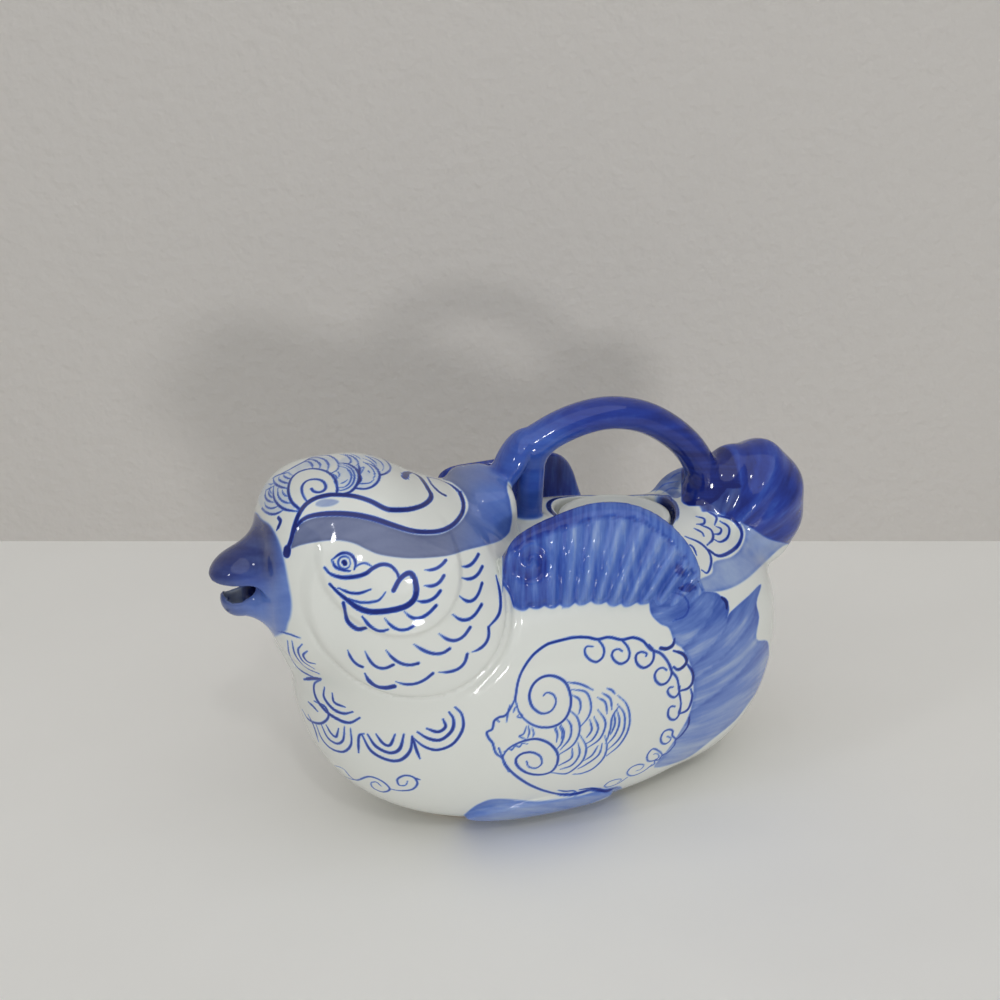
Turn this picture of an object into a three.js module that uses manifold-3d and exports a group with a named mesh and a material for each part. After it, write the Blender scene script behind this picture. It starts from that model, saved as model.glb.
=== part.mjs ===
// A bird-shaped porcelain teapot with a bail handle, two wing sails and a dished lid.
// Millimetres, +Z up. The bird faces -X and its left side faces -Y.
// Shapes are drawn from a datum on the table under the breast of the bird, and the finished group
// is moved so that the origin is under the middle of the bird's length.

import * as THREE from 'three';
import { mergeVertices } from 'three/addons/utils/BufferGeometryUtils.js';
import Module from 'manifold-3d';

const wasm = await Module();
wasm.setup();

// Driving dimensions
const DATUM_X = 8.84;
const GAP = 0.3;
const WALL = 4.2;
const ROUND = 2.35;
const BLUNT = 3.1;

const TRUNK = { at: [11.5, 0, 48.8], radii: [71.6, 41, 52.3], top: 35.6, power: ROUND };
const RUMP = { at: [55.8, 0, 40.4], radii: [27.4, 27, 41.7] };
const CHEST = { at: [-21.3, 0, 43.6], radii: [30.6, 34, 38.3], top: 45, power: 2.25 };
const CROWN = { at: [-45, 0, 79], radii: [24.2, 25, 30] };
const HOOD = { at: [-20.5, 0, 72], radii: [23.2, 28, 29.5], top: 24.6, power: BLUNT };
const NAPE = { at: [-9.4, 0, 84], radii: [11.4, 19, 16], power: 3 };
const CHEEK = { at: [-29.5, 11, 70], radii: [30, 26, 25.5] };
const TAIL = { at: [79.6, 0, 78.2], radii: [16.7, 13.5, 19.9], pitch: -11.6 };
const UPPER_BILL = { at: [-70.1, 0, 81.3], radii: [9.8, 9.2, 5.7], pitch: -13.9 };
const BILL_ROOT = { from: [-52, 0, 79], to: [-64, 0, 81.5], radii: [14, 8] };
const SPOUT = { from: [-55.9, 0, 74.5], to: [-72.2, 0, 73], radii: [11.8, 5.2] };
const SPOUT_BORE = { front: -80, back: -44, z: 74.7, width: 7.4, height: 6.2 };
const GAPE_BLOCK = { front: -110, back: -20, low: 60, high: 110, wide: 80 };
const GAPE = { hinge: [-61, 79.4], billTip: [-82, 79.5], lipTip: [-78, 74.8] };

// How far each form runs into its neighbour
const SEAM = { rump: 10, chest: 8, hood: 6, nape: 3, cheek: 5, billRoot: 4, tail: 8, webFoot: 1 };

const EYE_RING = { x: -38.5, z: 90, rx: 17, rz: 16.3, step: 1.1 };
const CHEEK_RING = { x: -32.5, z: 80, rx: 25.5, rz: 27, step: 1.4 };
const RING_EDGE = { outer: 1.06, inner: 0.94, sideFrom: 10, sideFull: 22, topFrom: 88, topEnd: 99 };
const FAN_RIBS = {
  x: 58, z: 66, first: -25, last: 105, count: 7, depth: 1.4, flat: 36, full: 60, least: 0.3,
};

const BASE_Z = 1.6;
const CAVITY_FLOOR = 5.5;
const CAVITY_ROOF = 75.5;
const FOOT_RING = { x: 8, length: 76, width: 40, wall: 5 };

const HANDLE_PATH = [[8.5, 105], [16, 108.9], [24, 111.4], [33, 112.1], [43, 109.8], [52, 104.6],
  [59.2, 97.6], [63.4, 89.4], [65, 78]];
const HANDLE_THICK = 9.2;
const HANDLE_WIDE = 11.4;
const HANDLE_SWELL = { by: 0.22, from: 0.8 };
const HANDLE_CUTS = { along: 22, around: 12 };
const HANDLE_KNOT = { at: [3.3, 0, 101.6], radii: [3.7, 6.6, 9.8], pitch: 30 };
const HANDLE_LEG = { from: [9.4, 0, 105], to: [8.2, 0, 76], radii: [3.9, 3.6] };

const SAIL = { front: -11, rear: 45.5, foot: 74, rimTop: 95.2, rimThick: 2.6, proud: 2.4 };
const SAIL_RIM = {
  middle: 17, half: 29, start: 80, drop: 7, dropTo: 40, apart: 21.5, fullness: 2.6, roundness: 0.6,
};
const SAIL_SPREAD = { waist: 20, front: 9, frontReach: 31, rear: 12.5, rearReach: 28.5 };
const SAIL_FOOT = { drop: 2.4, dropFrom: 5, dropTo: 30, lift: 4, liftEnd: -4 };
const SAIL_WALL = { top: 0.4, middle: 7, foot: 9, footRise: 2, bulge: 2 };
const SAIL_CUTS = { along: 20, outer: 6, inner: 4 };
const RIGHT_SAIL = { from: 17, squeeze: 1.4 };

const LID = { x: 35, length: 33, width: 31, seat: 78.7, edge: 3.2 };
const LID_DISH = { depth: 2.2, rim: 4 };
const LID_KNOB = { across: 10, top: 82.4 };
const LID_FLANGE = { length: 27.5, width: 25.5, depth: 6.5, wall: 2.4 };
const LID_JOIN = 0.5;
const MOUTH_CLEARANCE = 0.9;
const VENT = { back: 9, across: 2.4 };

const WEB_FOOT = { at: [2, 27, 9.5], radii: [22, 12, 7], proud: 1.5, low: 0.2 };

// Where each skin is cast from, how its rays are spread, and how finely it is cut
const TRUNK_SKIN = { centre: [12, 0, 46], stretch: [1.6, 1, 1], detail: 10 };
const HEAD_SKIN = { centre: [-34, 0, 78], stretch: [1.15, 1, 1], detail: 9 };
const BILL_SKIN = { centre: [-64, 0, 82.4], stretch: [1.3, 1, 1], detail: 6 };
const SPOUT_SKIN = { centre: [-62, 0, 74], stretch: [1.3, 1, 1], detail: 6 };
const KNOT_SKIN = { centre: HANDLE_KNOT.at, stretch: [1, 1, 1.5], detail: 4 };
const LEG_SKIN = { centre: [9.3, 0, 90], stretch: [1, 1, 3], detail: 4 };
const TAIL_SKIN = { centre: [80, 0, 78], stretch: [1, 0.8, 1.1], detail: 6 };
const CAVITY_DETAIL = 5;
const HEAD_HOLLOW_DETAIL = 4;
const WEB_FOOT_SKIN = { stretch: [1.8, 1, 1], detail: 5 };
const ROUND_SIDES = 32;
const RING_SIDES = 48;
const FAR = 150;

// Solids and cuts
function solidFrom(geometry) {
  const bare = geometry.index ? geometry.clone() : geometry;
  bare.deleteAttribute('normal');
  bare.deleteAttribute('uv');
  const merged = mergeVertices(bare, 1e-4);
  return new wasm.Manifold(new wasm.Mesh({
    numProp: 3,
    vertProperties: new Float32Array(merged.attributes.position.array),
    triVerts: new Uint32Array(merged.index.array),
  }));
}

function geometryFrom(solid) {
  const mesh = solid.getMesh();
  const geometry = new THREE.BufferGeometry();
  geometry.setAttribute('position', new THREE.BufferAttribute(mesh.vertProperties, 3));
  geometry.setIndex(new THREE.BufferAttribute(mesh.triVerts, 1));
  geometry.computeVertexNormals();
  return geometry;
}

function largestPiece(solid) {
  return solid.decompose().sort((a, b) => b.volume() - a.volume())[0];
}

// Rounded forms, each a field that is negative inside and about a distance near its surface
function blend(a, b, width) {
  const h = Math.min(Math.max(0.5 + (0.5 * (b - a)) / width, 0), 1);
  return b + (a - b) * h - width * h * (1 - h);
}

function fadeIn(from, to, value) {
  const t = Math.min(Math.max((value - from) / (to - from), 0), 1);
  return t * t * (3 - 2 * t);
}

function egg(form, x, y, z) {
  const turn = THREE.MathUtils.degToRad(form.pitch || 0);
  const dx = x - form.at[0];
  const dz = z - form.at[2];
  const q = [Math.cos(turn) * dx - Math.sin(turn) * dz, y - form.at[1],
    Math.sin(turn) * dx + Math.cos(turn) * dz];
  const radii = [form.radii[0], form.radii[1], q[2] > 0 && form.top ? form.top : form.radii[2]];
  const power = form.power || 2;
  let sum = 0;
  for (let i = 0; i < 3; i += 1) sum += (Math.abs(q[i]) / radii[i]) ** power;
  const level = Math.max(sum, 1e-9) ** (1 / power);
  let slope = 0;
  for (let i = 0; i < 3; i += 1) {
    slope += (level ** (1 - power) * (Math.abs(q[i]) / radii[i]) ** (power - 1) / radii[i]) ** 2;
  }
  return (level - 1) / Math.max(Math.sqrt(slope), 1e-3);
}

function taper(form, x, y, z) {
  const from = new THREE.Vector3(...form.from);
  const along = new THREE.Vector3(...form.to).sub(from);
  const reach = new THREE.Vector3(x, y, z).sub(from);
  const t = Math.min(Math.max(reach.dot(along) / along.lengthSq(), 0), 1);
  const radius = THREE.MathUtils.lerp(form.radii[0], form.radii[1], t);
  return reach.addScaledVector(along, -t).length() - radius;
}

function trunkField(x, y, z) {
  const side = Math.abs(y);
  const barrel = blend(egg(TRUNK, x, side, z), egg(RUMP, x, side, z), SEAM.rump);
  return blend(barrel, egg(CHEST, x, side, z), SEAM.chest);
}

function ringStep(ring, x, z) {
  const reach = Math.hypot((x - ring.x) / ring.rx, (z - ring.z) / ring.rz);
  return ring.step * fadeIn(RING_EDGE.outer, RING_EDGE.inner, reach);
}

function headField(x, y, z) {
  const side = Math.abs(y);
  const hood = blend(egg(CROWN, x, side, z), egg(HOOD, x, side, z), SEAM.hood);
  const skull = blend(hood, egg(NAPE, x, side, z), SEAM.nape);
  const whole = blend(skull, egg(CHEEK, x, side, z), SEAM.cheek);
  const rings = ringStep(EYE_RING, x, z) + ringStep(CHEEK_RING, x, z);
  const sideways = fadeIn(RING_EDGE.sideFrom, RING_EDGE.sideFull, side);
  return whole - rings * sideways * (1 - fadeIn(RING_EDGE.topFrom, RING_EDGE.topEnd, z));
}

function upperBillField(x, y, z) {
  return blend(egg(UPPER_BILL, x, y, z), taper(BILL_ROOT, x, y, z), SEAM.billRoot);
}

// The fan of the tail is fluted: ribs spread from the root of the handle, and the rear ones are flatter
function tailField(x, y, z) {
  const { first, last, count, depth, flat, full, least } = FAN_RIBS;
  const angle = THREE.MathUtils.radToDeg(Math.atan2(z - FAN_RIBS.z, x - FAN_RIBS.x));
  const turn = (angle - first) / (last - first);
  const height = THREE.MathUtils.lerp(least, 1, fadeIn(flat, full, angle));
  const rib = depth * height * (0.5 + 0.5 * Math.cos(2 * Math.PI * count * turn));
  const side = Math.abs(y);
  return blend(egg(TAIL, x, side, z) - rib, egg(RUMP, x, side, z), SEAM.tail);
}

// A closed skin where the field is zero, seen from a point inside it
function skin(field, { centre, stretch, detail }, grow = 0) {
  const spread = new THREE.Vector3(...stretch);
  const geometry = new THREE.IcosahedronGeometry(1, detail);
  const spots = geometry.attributes.position;
  const ray = new THREE.Vector3();
  for (let i = 0; i < spots.count; i += 1) {
    ray.fromBufferAttribute(spots, i).multiply(spread).normalize();
    const spot = (t) => [centre[0] + ray.x * t, centre[1] + ray.y * t, centre[2] + ray.z * t];
    const at = (t) => field(...spot(t)) - grow;
    let far = 1;
    while (at(far) < 0) far += 1;
    let near = far - 1;
    for (let step = 0; step < 24; step += 1) {
      const middle = (near + far) / 2;
      if (at(middle) < 0) near = middle;
      else far = middle;
    }
    spots.setXYZ(i, ...spot(far));
  }
  return solidFrom(geometry);
}

// A closed tube or shell through rings of the same number of points
function loft(rings) {
  const around = rings[0].length;
  const points = rings.flat().concat([centreOf(rings[0]), centreOf(rings[rings.length - 1])]);
  const faces = [];
  for (let i = 0; i + 1 < rings.length; i += 1) {
    for (let j = 0; j < around; j += 1) {
      const a = i * around + j;
      const b = i * around + ((j + 1) % around);
      faces.push(a, b, b + around, a, b + around, a + around);
    }
  }
  const start = points.length - 2;
  const last = (rings.length - 1) * around;
  for (let j = 0; j < around; j += 1) {
    const next = (j + 1) % around;
    faces.push(start, next, j);
    faces.push(start + 1, last + j, last + next);
  }
  const geometry = new THREE.BufferGeometry();
  geometry.setAttribute('position', new THREE.Float32BufferAttribute(points.flat(), 3));
  geometry.setIndex(faces);
  return solidFrom(geometry);
}

function centreOf(ring) {
  return [0, 1, 2].map((axis) => ring.reduce((sum, point) => sum + point[axis], 0) / ring.length);
}

// An oval block, with the long way along X
function oval(x, length, width, low, high, sides = ROUND_SIDES) {
  const geometry = new THREE.CylinderGeometry(0.5, 0.5, high - low, sides);
  geometry.rotateX(Math.PI / 2);
  geometry.scale(length, width, 1);
  geometry.translate(x, 0, (low + high) / 2);
  return solidFrom(geometry);
}

function block(low, high) {
  const size = low.map((value, axis) => high[axis] - value);
  const geometry = new THREE.BoxGeometry(...size);
  geometry.translate(...low.map((value, axis) => value + size[axis] / 2));
  return solidFrom(geometry);
}

const above = (height) => block([-FAR, -FAR, height], [FAR, FAR, FAR]);

const trunkOuter = skin(trunkField, TRUNK_SKIN);
const trunkGrown = skin(trunkField, TRUNK_SKIN, GAP);
const headOuter = skin(headField, HEAD_SKIN);
const headGrown = skin(headField, HEAD_SKIN, GAP);

// Body: a hollow trunk on a flat base, with a stepped mouth for the lid
function makeCavity() {
  const hollow = skin(trunkField, { ...TRUNK_SKIN, detail: CAVITY_DETAIL }, -WALL);
  const slab = block([-FAR, -FAR, CAVITY_FLOOR], [FAR, FAR, CAVITY_ROOF]);
  return hollow.intersect(slab);
}

const cavity = makeCavity();
const headHollow = skin(headField, { ...HEAD_SKIN, detail: HEAD_HOLLOW_DETAIL }, -WALL);

function makeBody() {
  const wider = 2 * MOUTH_CLEARANCE;
  const recess = oval(LID.x, LID.length + wider, LID.width + wider, LID.seat - GAP, FAR);
  const throat = oval(LID.x, LID_FLANGE.length + wider, LID_FLANGE.width + wider,
    LID.seat - LID_FLANGE.depth, FAR);
  return trunkOuter.intersect(above(BASE_Z)).subtract(cavity).subtract(headGrown)
    .subtract(recess)
    .subtract(throat);
}

// Head: a hollow hood whose foot opens into the body, with the pouring way through its face
function makeHead() {
  return headOuter.subtract(headHollow).subtract(cavity).subtract(spoutBore());
}

function spoutBore() {
  const { front, back, z, width, height } = SPOUT_BORE;
  const geometry = new THREE.CylinderGeometry(0.5, 0.5, back - front, 20);
  geometry.rotateZ(Math.PI / 2);
  geometry.scale(1, width, height);
  geometry.translate((front + back) / 2, 0, z);
  return solidFrom(geometry);
}

// Everything on one side of the slanting line of the open beak
function gapeCut(tip, upper) {
  const { front, back, low, high, wide } = GAPE_BLOCK;
  const outline = new THREE.Shape();
  const far = upper ? low : high;
  const slope = (GAPE.hinge[1] - tip[1]) / (GAPE.hinge[0] - tip[0]);
  outline.moveTo(front, GAPE.hinge[1] + slope * (front - GAPE.hinge[0]));
  outline.lineTo(back, GAPE.hinge[1] + slope * (back - GAPE.hinge[0]));
  outline.lineTo(back, far);
  outline.lineTo(front, far);
  outline.closePath();
  const geometry = new THREE.ExtrudeGeometry(outline, { depth: wide, bevelEnabled: false });
  geometry.rotateX(Math.PI / 2);
  geometry.translate(0, wide / 2, 0);
  return solidFrom(geometry);
}

function makeUpperBill() {
  const outer = skin(upperBillField, BILL_SKIN);
  return outer.subtract(gapeCut(GAPE.billTip, true)).subtract(headGrown).subtract(spoutBore());
}

function makeSpout() {
  const outer = skin((x, y, z) => taper(SPOUT, x, y, z), SPOUT_SKIN);
  const lip = outer.subtract(gapeCut(GAPE.lipTip, false));
  return largestPiece(lip.subtract(headGrown).subtract(spoutBore()).subtract(trunkGrown));
}

// Handle: a strap bent over the lid, with a leaf knot and a leg at its front
function ovalRing(centre, side, normal, wide, thick, count) {
  const ring = [];
  for (let j = 0; j < count; j += 1) {
    const angle = (2 * Math.PI * j) / count;
    const a = (Math.cos(angle) * wide) / 2;
    const b = (Math.sin(angle) * thick) / 2;
    ring.push([0, 1, 2].map((axis) => centre[axis] + side[axis] * a + normal[axis] * b));
  }
  return ring;
}

function makeHandle() {
  const path = new THREE.CatmullRomCurve3(HANDLE_PATH.map(([x, z]) => new THREE.Vector3(x, 0, z)));
  const rings = [];
  const { along, around } = HANDLE_CUTS;
  for (let i = 0; i <= along; i += 1) {
    const spot = path.getPointAt(i / along).toArray();
    const run = path.getTangentAt(i / along);
    const swell = 1 + HANDLE_SWELL.by * fadeIn(HANDLE_SWELL.from, 1, i / along);
    rings.push(ovalRing(spot, [0, 1, 0], [-run.z, 0, run.x], HANDLE_WIDE * swell,
      HANDLE_THICK * swell, around));
  }
  const knot = skin((x, y, z) => egg(HANDLE_KNOT, x, y, z), KNOT_SKIN);
  const leg = skin((x, y, z) => taper(HANDLE_LEG, x, y, z), LEG_SKIN);
  return loft(rings).add(knot).add(leg).subtract(trunkGrown).subtract(headGrown)
    .subtract(tailSkin(GAP));
}

// Tail
function tailSkin(grow) {
  return skin(tailField, TAIL_SKIN, grow);
}

function makeTail() {
  return largestPiece(tailSkin(0).subtract(trunkGrown));
}

// Wing sails: each a bulging wall from the flank up to a rim that leans in over the back
function trunkHalfWidth(x, z) {
  let inside = 0;
  let outside = 60;
  for (let step = 0; step < 30; step += 1) {
    const middle = (inside + outside) / 2;
    if (trunkField(x, middle, z) < 0) inside = middle;
    else outside = middle;
  }
  return inside;
}

function sailRim(x) {
  const { middle, half, start, drop, dropTo, apart, fullness, roundness } = SAIL_RIM;
  const { waist, front, frontReach, rear, rearReach } = SAIL_SPREAD;
  const reach = Math.min(Math.abs(x - middle) / half, 1);
  const rise = (1 - reach ** fullness) ** roundness;
  const spread = x < waist
    ? front * ((waist - x) / frontReach) ** 2
    : rear * ((x - waist) / rearReach) ** 2;
  const base = start - drop * fadeIn(0, dropTo, x);
  return { y: apart + spread, z: base + (SAIL.rimTop - base) * rise };
}

function sailRing(x) {
  const rim = sailRim(x);
  const { drop, dropFrom, dropTo, lift, liftEnd } = SAIL_FOOT;
  const footZ = SAIL.foot - drop * fadeIn(dropFrom, dropTo, x)
    + lift * (1 - fadeIn(SAIL.front, liftEnd, x));
  const footY = trunkHalfWidth(x, footZ) + SAIL.proud / 2;
  const midZ = (footZ + rim.z) / 2 + SAIL_WALL.bulge;
  const midY = Math.max((footY + rim.y) / 2, footY - SAIL_WALL.bulge) + SAIL.proud;
  const outer = new THREE.QuadraticBezierCurve(new THREE.Vector2(footY, footZ),
    new THREE.Vector2(midY, midZ), new THREE.Vector2(rim.y + SAIL.rimThick / 2, rim.z));
  const inner = new THREE.QuadraticBezierCurve(
    new THREE.Vector2(rim.y - SAIL.rimThick / 2, rim.z - SAIL_WALL.top),
    new THREE.Vector2(midY - SAIL_WALL.middle, midZ),
    new THREE.Vector2(footY - SAIL_WALL.foot, footZ + SAIL_WALL.footRise));
  const points = [...outer.getPoints(SAIL_CUTS.outer), ...inner.getPoints(SAIL_CUTS.inner)];
  return points.map((point) => [x, point.x, point.y]);
}

// The right sail is shorter behind its middle
function shortenRear(spot) {
  const { from, squeeze } = RIGHT_SAIL;
  if (spot[0] > from) spot[0] = from + (spot[0] - from) / squeeze;
}

function makeSail(side) {
  const rings = [];
  for (let i = 0; i <= SAIL_CUTS.along; i += 1) {
    const share = 0.5 - 0.5 * Math.cos((Math.PI * i) / SAIL_CUTS.along);
    const x = THREE.MathUtils.lerp(SAIL.front, SAIL.rear, share);
    rings.push(sailRing(x));
  }
  const solid = side < 0 ? loft(rings).mirror([0, 1, 0]) : loft(rings).warp(shortenRear);
  return largestPiece(solid.subtract(trunkGrown).subtract(headGrown));
}

// Lid
function makeLid() {
  const { x, length, width, seat, edge } = LID;
  const { depth, wall } = LID_FLANGE;
  const rim = 2 * LID_DISH.rim;
  const plate = oval(x, length, width, seat, seat + edge);
  const bowl = oval(x, length - rim, width - rim, seat + edge - LID_DISH.depth, FAR);
  const button = oval(x, LID_KNOB.across, LID_KNOB.across, seat + LID_JOIN, LID_KNOB.top);
  const skirt = oval(x, LID_FLANGE.length, LID_FLANGE.width, seat - depth, seat + LID_JOIN);
  const bore = oval(x, LID_FLANGE.length - 2 * wall, LID_FLANGE.width - 2 * wall, 0, seat - LID_JOIN);
  const vent = oval(x + VENT.back, VENT.across, VENT.across, 0, FAR);
  return plate.subtract(bowl).add(button).add(skirt).subtract(bore).subtract(vent);
}

// Foot ring and webbed feet
function makeFootRing() {
  const { x, length, width, wall } = FOOT_RING;
  const outer = oval(x, length, width, 0, BASE_Z - GAP, RING_SIDES);
  const inner = oval(x, length - 2 * wall, width - 2 * wall, -BASE_Z, 2 * BASE_Z, RING_SIDES);
  return outer.subtract(inner);
}

function makeWebFoot(side) {
  const field = (x, y, z) => {
    const raised = trunkField(x, y, z) - WEB_FOOT.proud;
    return -blend(-raised, -egg(WEB_FOOT, x, side * y, z), SEAM.webFoot);
  };
  const centre = [WEB_FOOT.at[0], side * WEB_FOOT.at[1], WEB_FOOT.at[2]];
  const whole = skin(field, { ...WEB_FOOT_SKIN, centre }).intersect(above(WEB_FOOT.low));
  return largestPiece(whole.subtract(trunkGrown));
}

// Assembly
const WHITE = 0xe6e6df;
const COBALT = 0x33479b;
const BARE = 0xcdbfa6;

function glaze(colour, roughness) {
  return new THREE.MeshStandardMaterial({ color: colour, roughness, metalness: 0 });
}

const teapot = new THREE.Group();
teapot.position.x = -DATUM_X;

function place(name, solid, colour, roughness = 0.15) {
  const mesh = new THREE.Mesh(geometryFrom(solid), glaze(colour, roughness));
  mesh.name = name;
  teapot.add(mesh);
}

place('body_shell', makeBody(), WHITE);
place('head_shell', makeHead(), WHITE);
place('upper_bill', makeUpperBill(), COBALT);
place('spout_bill', makeSpout(), COBALT);
place('bail_handle', makeHandle(), COBALT);
place('tail_fan', makeTail(), COBALT);
place('wing_sail_left', makeSail(-1), COBALT);
place('wing_sail_right', makeSail(1), COBALT);
place('web_foot_left', makeWebFoot(-1), COBALT);
place('web_foot_right', makeWebFoot(1), COBALT);
place('foot_ring', makeFootRing(), BARE, 0.7);
place('lid', makeLid(), WHITE);

export default teapot;
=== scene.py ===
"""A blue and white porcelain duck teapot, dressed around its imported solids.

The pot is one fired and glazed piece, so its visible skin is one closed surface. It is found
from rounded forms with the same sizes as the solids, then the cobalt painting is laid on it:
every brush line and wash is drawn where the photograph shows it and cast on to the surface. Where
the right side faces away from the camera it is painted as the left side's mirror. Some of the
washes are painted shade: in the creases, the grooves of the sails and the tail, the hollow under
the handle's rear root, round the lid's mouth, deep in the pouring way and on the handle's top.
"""

import math

import bmesh
import bpy
import numpy as np
from mathutils import Matrix, Vector


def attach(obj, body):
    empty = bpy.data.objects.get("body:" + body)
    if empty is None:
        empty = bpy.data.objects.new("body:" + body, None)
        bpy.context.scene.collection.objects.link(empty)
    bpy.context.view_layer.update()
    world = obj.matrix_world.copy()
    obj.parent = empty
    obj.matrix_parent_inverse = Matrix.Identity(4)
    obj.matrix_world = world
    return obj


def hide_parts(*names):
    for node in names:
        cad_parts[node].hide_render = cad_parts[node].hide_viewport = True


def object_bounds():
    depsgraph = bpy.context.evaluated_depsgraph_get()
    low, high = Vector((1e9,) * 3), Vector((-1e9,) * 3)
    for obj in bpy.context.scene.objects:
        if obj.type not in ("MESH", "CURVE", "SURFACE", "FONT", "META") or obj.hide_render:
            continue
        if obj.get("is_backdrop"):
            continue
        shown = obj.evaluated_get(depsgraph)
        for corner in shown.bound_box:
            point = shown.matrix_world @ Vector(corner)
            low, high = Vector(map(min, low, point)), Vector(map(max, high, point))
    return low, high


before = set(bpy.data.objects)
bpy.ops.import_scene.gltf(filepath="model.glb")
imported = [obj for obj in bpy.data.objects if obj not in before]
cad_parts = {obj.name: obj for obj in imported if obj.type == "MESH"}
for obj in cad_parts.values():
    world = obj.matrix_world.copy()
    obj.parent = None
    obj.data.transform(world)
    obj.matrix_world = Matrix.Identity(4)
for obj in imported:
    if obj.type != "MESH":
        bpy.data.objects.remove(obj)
cad_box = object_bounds()

# Forms are drawn in millimetres from a datum on the table, DATUM_X behind the origin
MM = 0.001
DATUM_X = 8.84

# The photograph's camera, with pixels of a picture 1000 wide and high
EYE = np.array((-101.0, -277.5, 205.5))
TURN = math.radians(20.0)
DIP = math.radians(21.29)
FOCAL = 1150.0
MIDDLE = 500.0
AIM = np.array((math.sin(TURN) * math.cos(DIP), math.cos(TURN) * math.cos(DIP), -math.sin(DIP)))
RIGHT = np.array((math.cos(TURN), -math.sin(TURN), 0.0))
UP = np.cross(RIGHT, AIM)

# Main forms: centre, radii, and where the top or the pitch differs
WALL = 4.2
TRUNK = {"at": (11.5, 0, 48.8), "radii": (71.6, 41, 52.3), "top": 35.6, "power": 2.35}
RUMP = {"at": (55.8, 0, 40.4), "radii": (27.4, 27, 41.7)}
CHEST = {"at": (-20.3, 0, 44.8), "radii": (30.2, 33.5, 36.8), "top": 45, "power": 1.9}
THROAT = {"at": (-49, 0, 60.2), "radii": (15, 14, 12)}
CROWN = {"at": (-44.6, 0, 79), "radii": (22.7, 25, 27.6), "power": 2.8}
HOOD = {"at": (-22.4, 0, 72), "radii": (22, 28, 29.5), "top": 26.5}
NAPE = {"at": (-5.9, 0, 84.4), "radii": (7.7, 14.5, 14.8), "power": 4}
CHEEK = {"at": (-29.5, 11, 70), "radii": (30, 26, 25.5)}
TAIL = {"at": (79.6, 0, 78.2), "radii": (16.7, 13.5, 19.9), "pitch": -11.6}
FAR_SHOULDER = {"at": (66.5, 12, 78), "radii": (13, 6.5, 10.2)}
UPPER_BILL = {"at": (-70.1, 0, 81.3), "radii": (9.8, 9.2, 5.7), "pitch": -13.9}
BILL_ROOT = {"from": (-52, 0, 79), "to": (-64, 0, 81.5), "radii": (14, 8)}
SPOUT = {"from": (-55.9, 0, 74.5), "to": (-72.2, 0, 73), "radii": (11.8, 5.2)}
SPOUT_BORE = {"front": -74.4, "back": -44, "z": 74.7, "width": 7.4, "height": 6.2}
LIP_SCOOP = {"at": (-72.2, 0, 74.2), "radii": (3.9, 4.0, 4.6)}
LIP_SAG = 0.11
GAPE_HINGE = (-61, 79.4)
GAPE_BILL_TIP = (-82, 79.5)
GAPE_LIP_TIP = (-78, 74.8)
EYE_RING = {"x": -38.5, "z": 90, "rx": 17, "rz": 16.3, "step": 1.1}
CHEEK_RING = {"x": -34.5, "z": 80, "rx": 24.5, "rz": 24.8, "step": 1.0}
FAN_RIBS = {"x": 58, "z": 66, "first": -25, "last": 105, "count": 7, "depth": 1.4,
            "flat": 36, "full": 56}
FAN_SWELL = {"angle": 36, "spread": 15, "step": 1.1}
HANDLE_PATH = ((8.5, 105), (16, 108.9), (24, 111.4), (33, 112.1), (43, 109.8), (52, 104.6),
               (59.2, 97.6), (63.4, 89.4), (65, 78))
HANDLE_THICK = 9.2
HANDLE_WIDE = 11.4
HANDLE_SWELL = 0.22
HANDLE_KNOT = {"at": (3.3, 0, 101.6), "radii": (3.7, 6.6, 9.8), "pitch": 30}
HANDLE_LEG = {"from": (9.4, 0, 105), "to": (8.2, 0, 76), "radii": (3.9, 3.6)}
SAIL = {"front": -11, "foot": 74, "rim_top": 95.2, "rim_thick": 2.6, "proud": 2.4}
WEB_FOOT = {"at": (2, -27, 9.5), "radii": (22, 12, 7), "proud": 1.5}
BASE_Z = 1.6
CAVITY_FLOOR = 5.5
CAVITY_ROOF = 75.5
LID = {"x": 35, "length": 33, "width": 31, "seat": 78.7}
LID_FLANGE = {"length": 27.5, "width": 25.5, "depth": 6.5}
MOUTH_CLEARANCE = 0.9
MOUTH_TOP = 94
SKIN_INSET = 0.06

# How wide a fillet runs where a form joins the ones before it, and how far an edge is rounded
JOIN = {"rump": 10, "chest": 8, "throat": 6, "hood": 9.6, "nape": 3, "cheek": 5, "bill_root": 4,
        "lips": 1.0, "scoop": 0.6, "fan": 8, "shoulder": 3, "leg": 3, "knot": 0.7, "cavity": 3, "bore": 1,
        "tail_foot": 0.05, "tail": 2.95, "bill": 5, "foot": 0.8, "sail": 1.0, "seam": 2.4, "root": 3.6,
        "neck": 6.6}
EDGE = {"gape": 0.9, "web": 1.2, "sail_wall": 0.6, "sail_rim": 1.6, "sail_foot": 1.2, "sail_end": 1.0,
        "base": 2.0, "mouth": 1.4}
RING_SPREAD = 0.06
CREASE = {"depth": 0.4, "reach": 1.02, "spread": 0.024, "ends": ((10, -20), (-175, -155))}
FOLD = {"depth": 0.9, "reach": 1.13, "spread": 0.05, "ends": ((5, -15), (-75, -45))}


# Sums on whole arrays of points
def fade_in(start, end, value):
    t = np.clip((value - start) / (end - start), 0.0, 1.0)
    return t * t * (3.0 - 2.0 * t)


def soft_join(a, b, width):
    """The union of two fields, with a fillet about as wide as width."""
    h = np.clip(0.5 + 0.5 * (b - a) / width, 0.0, 1.0)
    return b + (a - b) * h - width * h * (1.0 - h)


def soft_meet(a, b, width):
    """Where both fields are inside, with the edge rounded."""
    return -soft_join(-a, -b, width)


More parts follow.
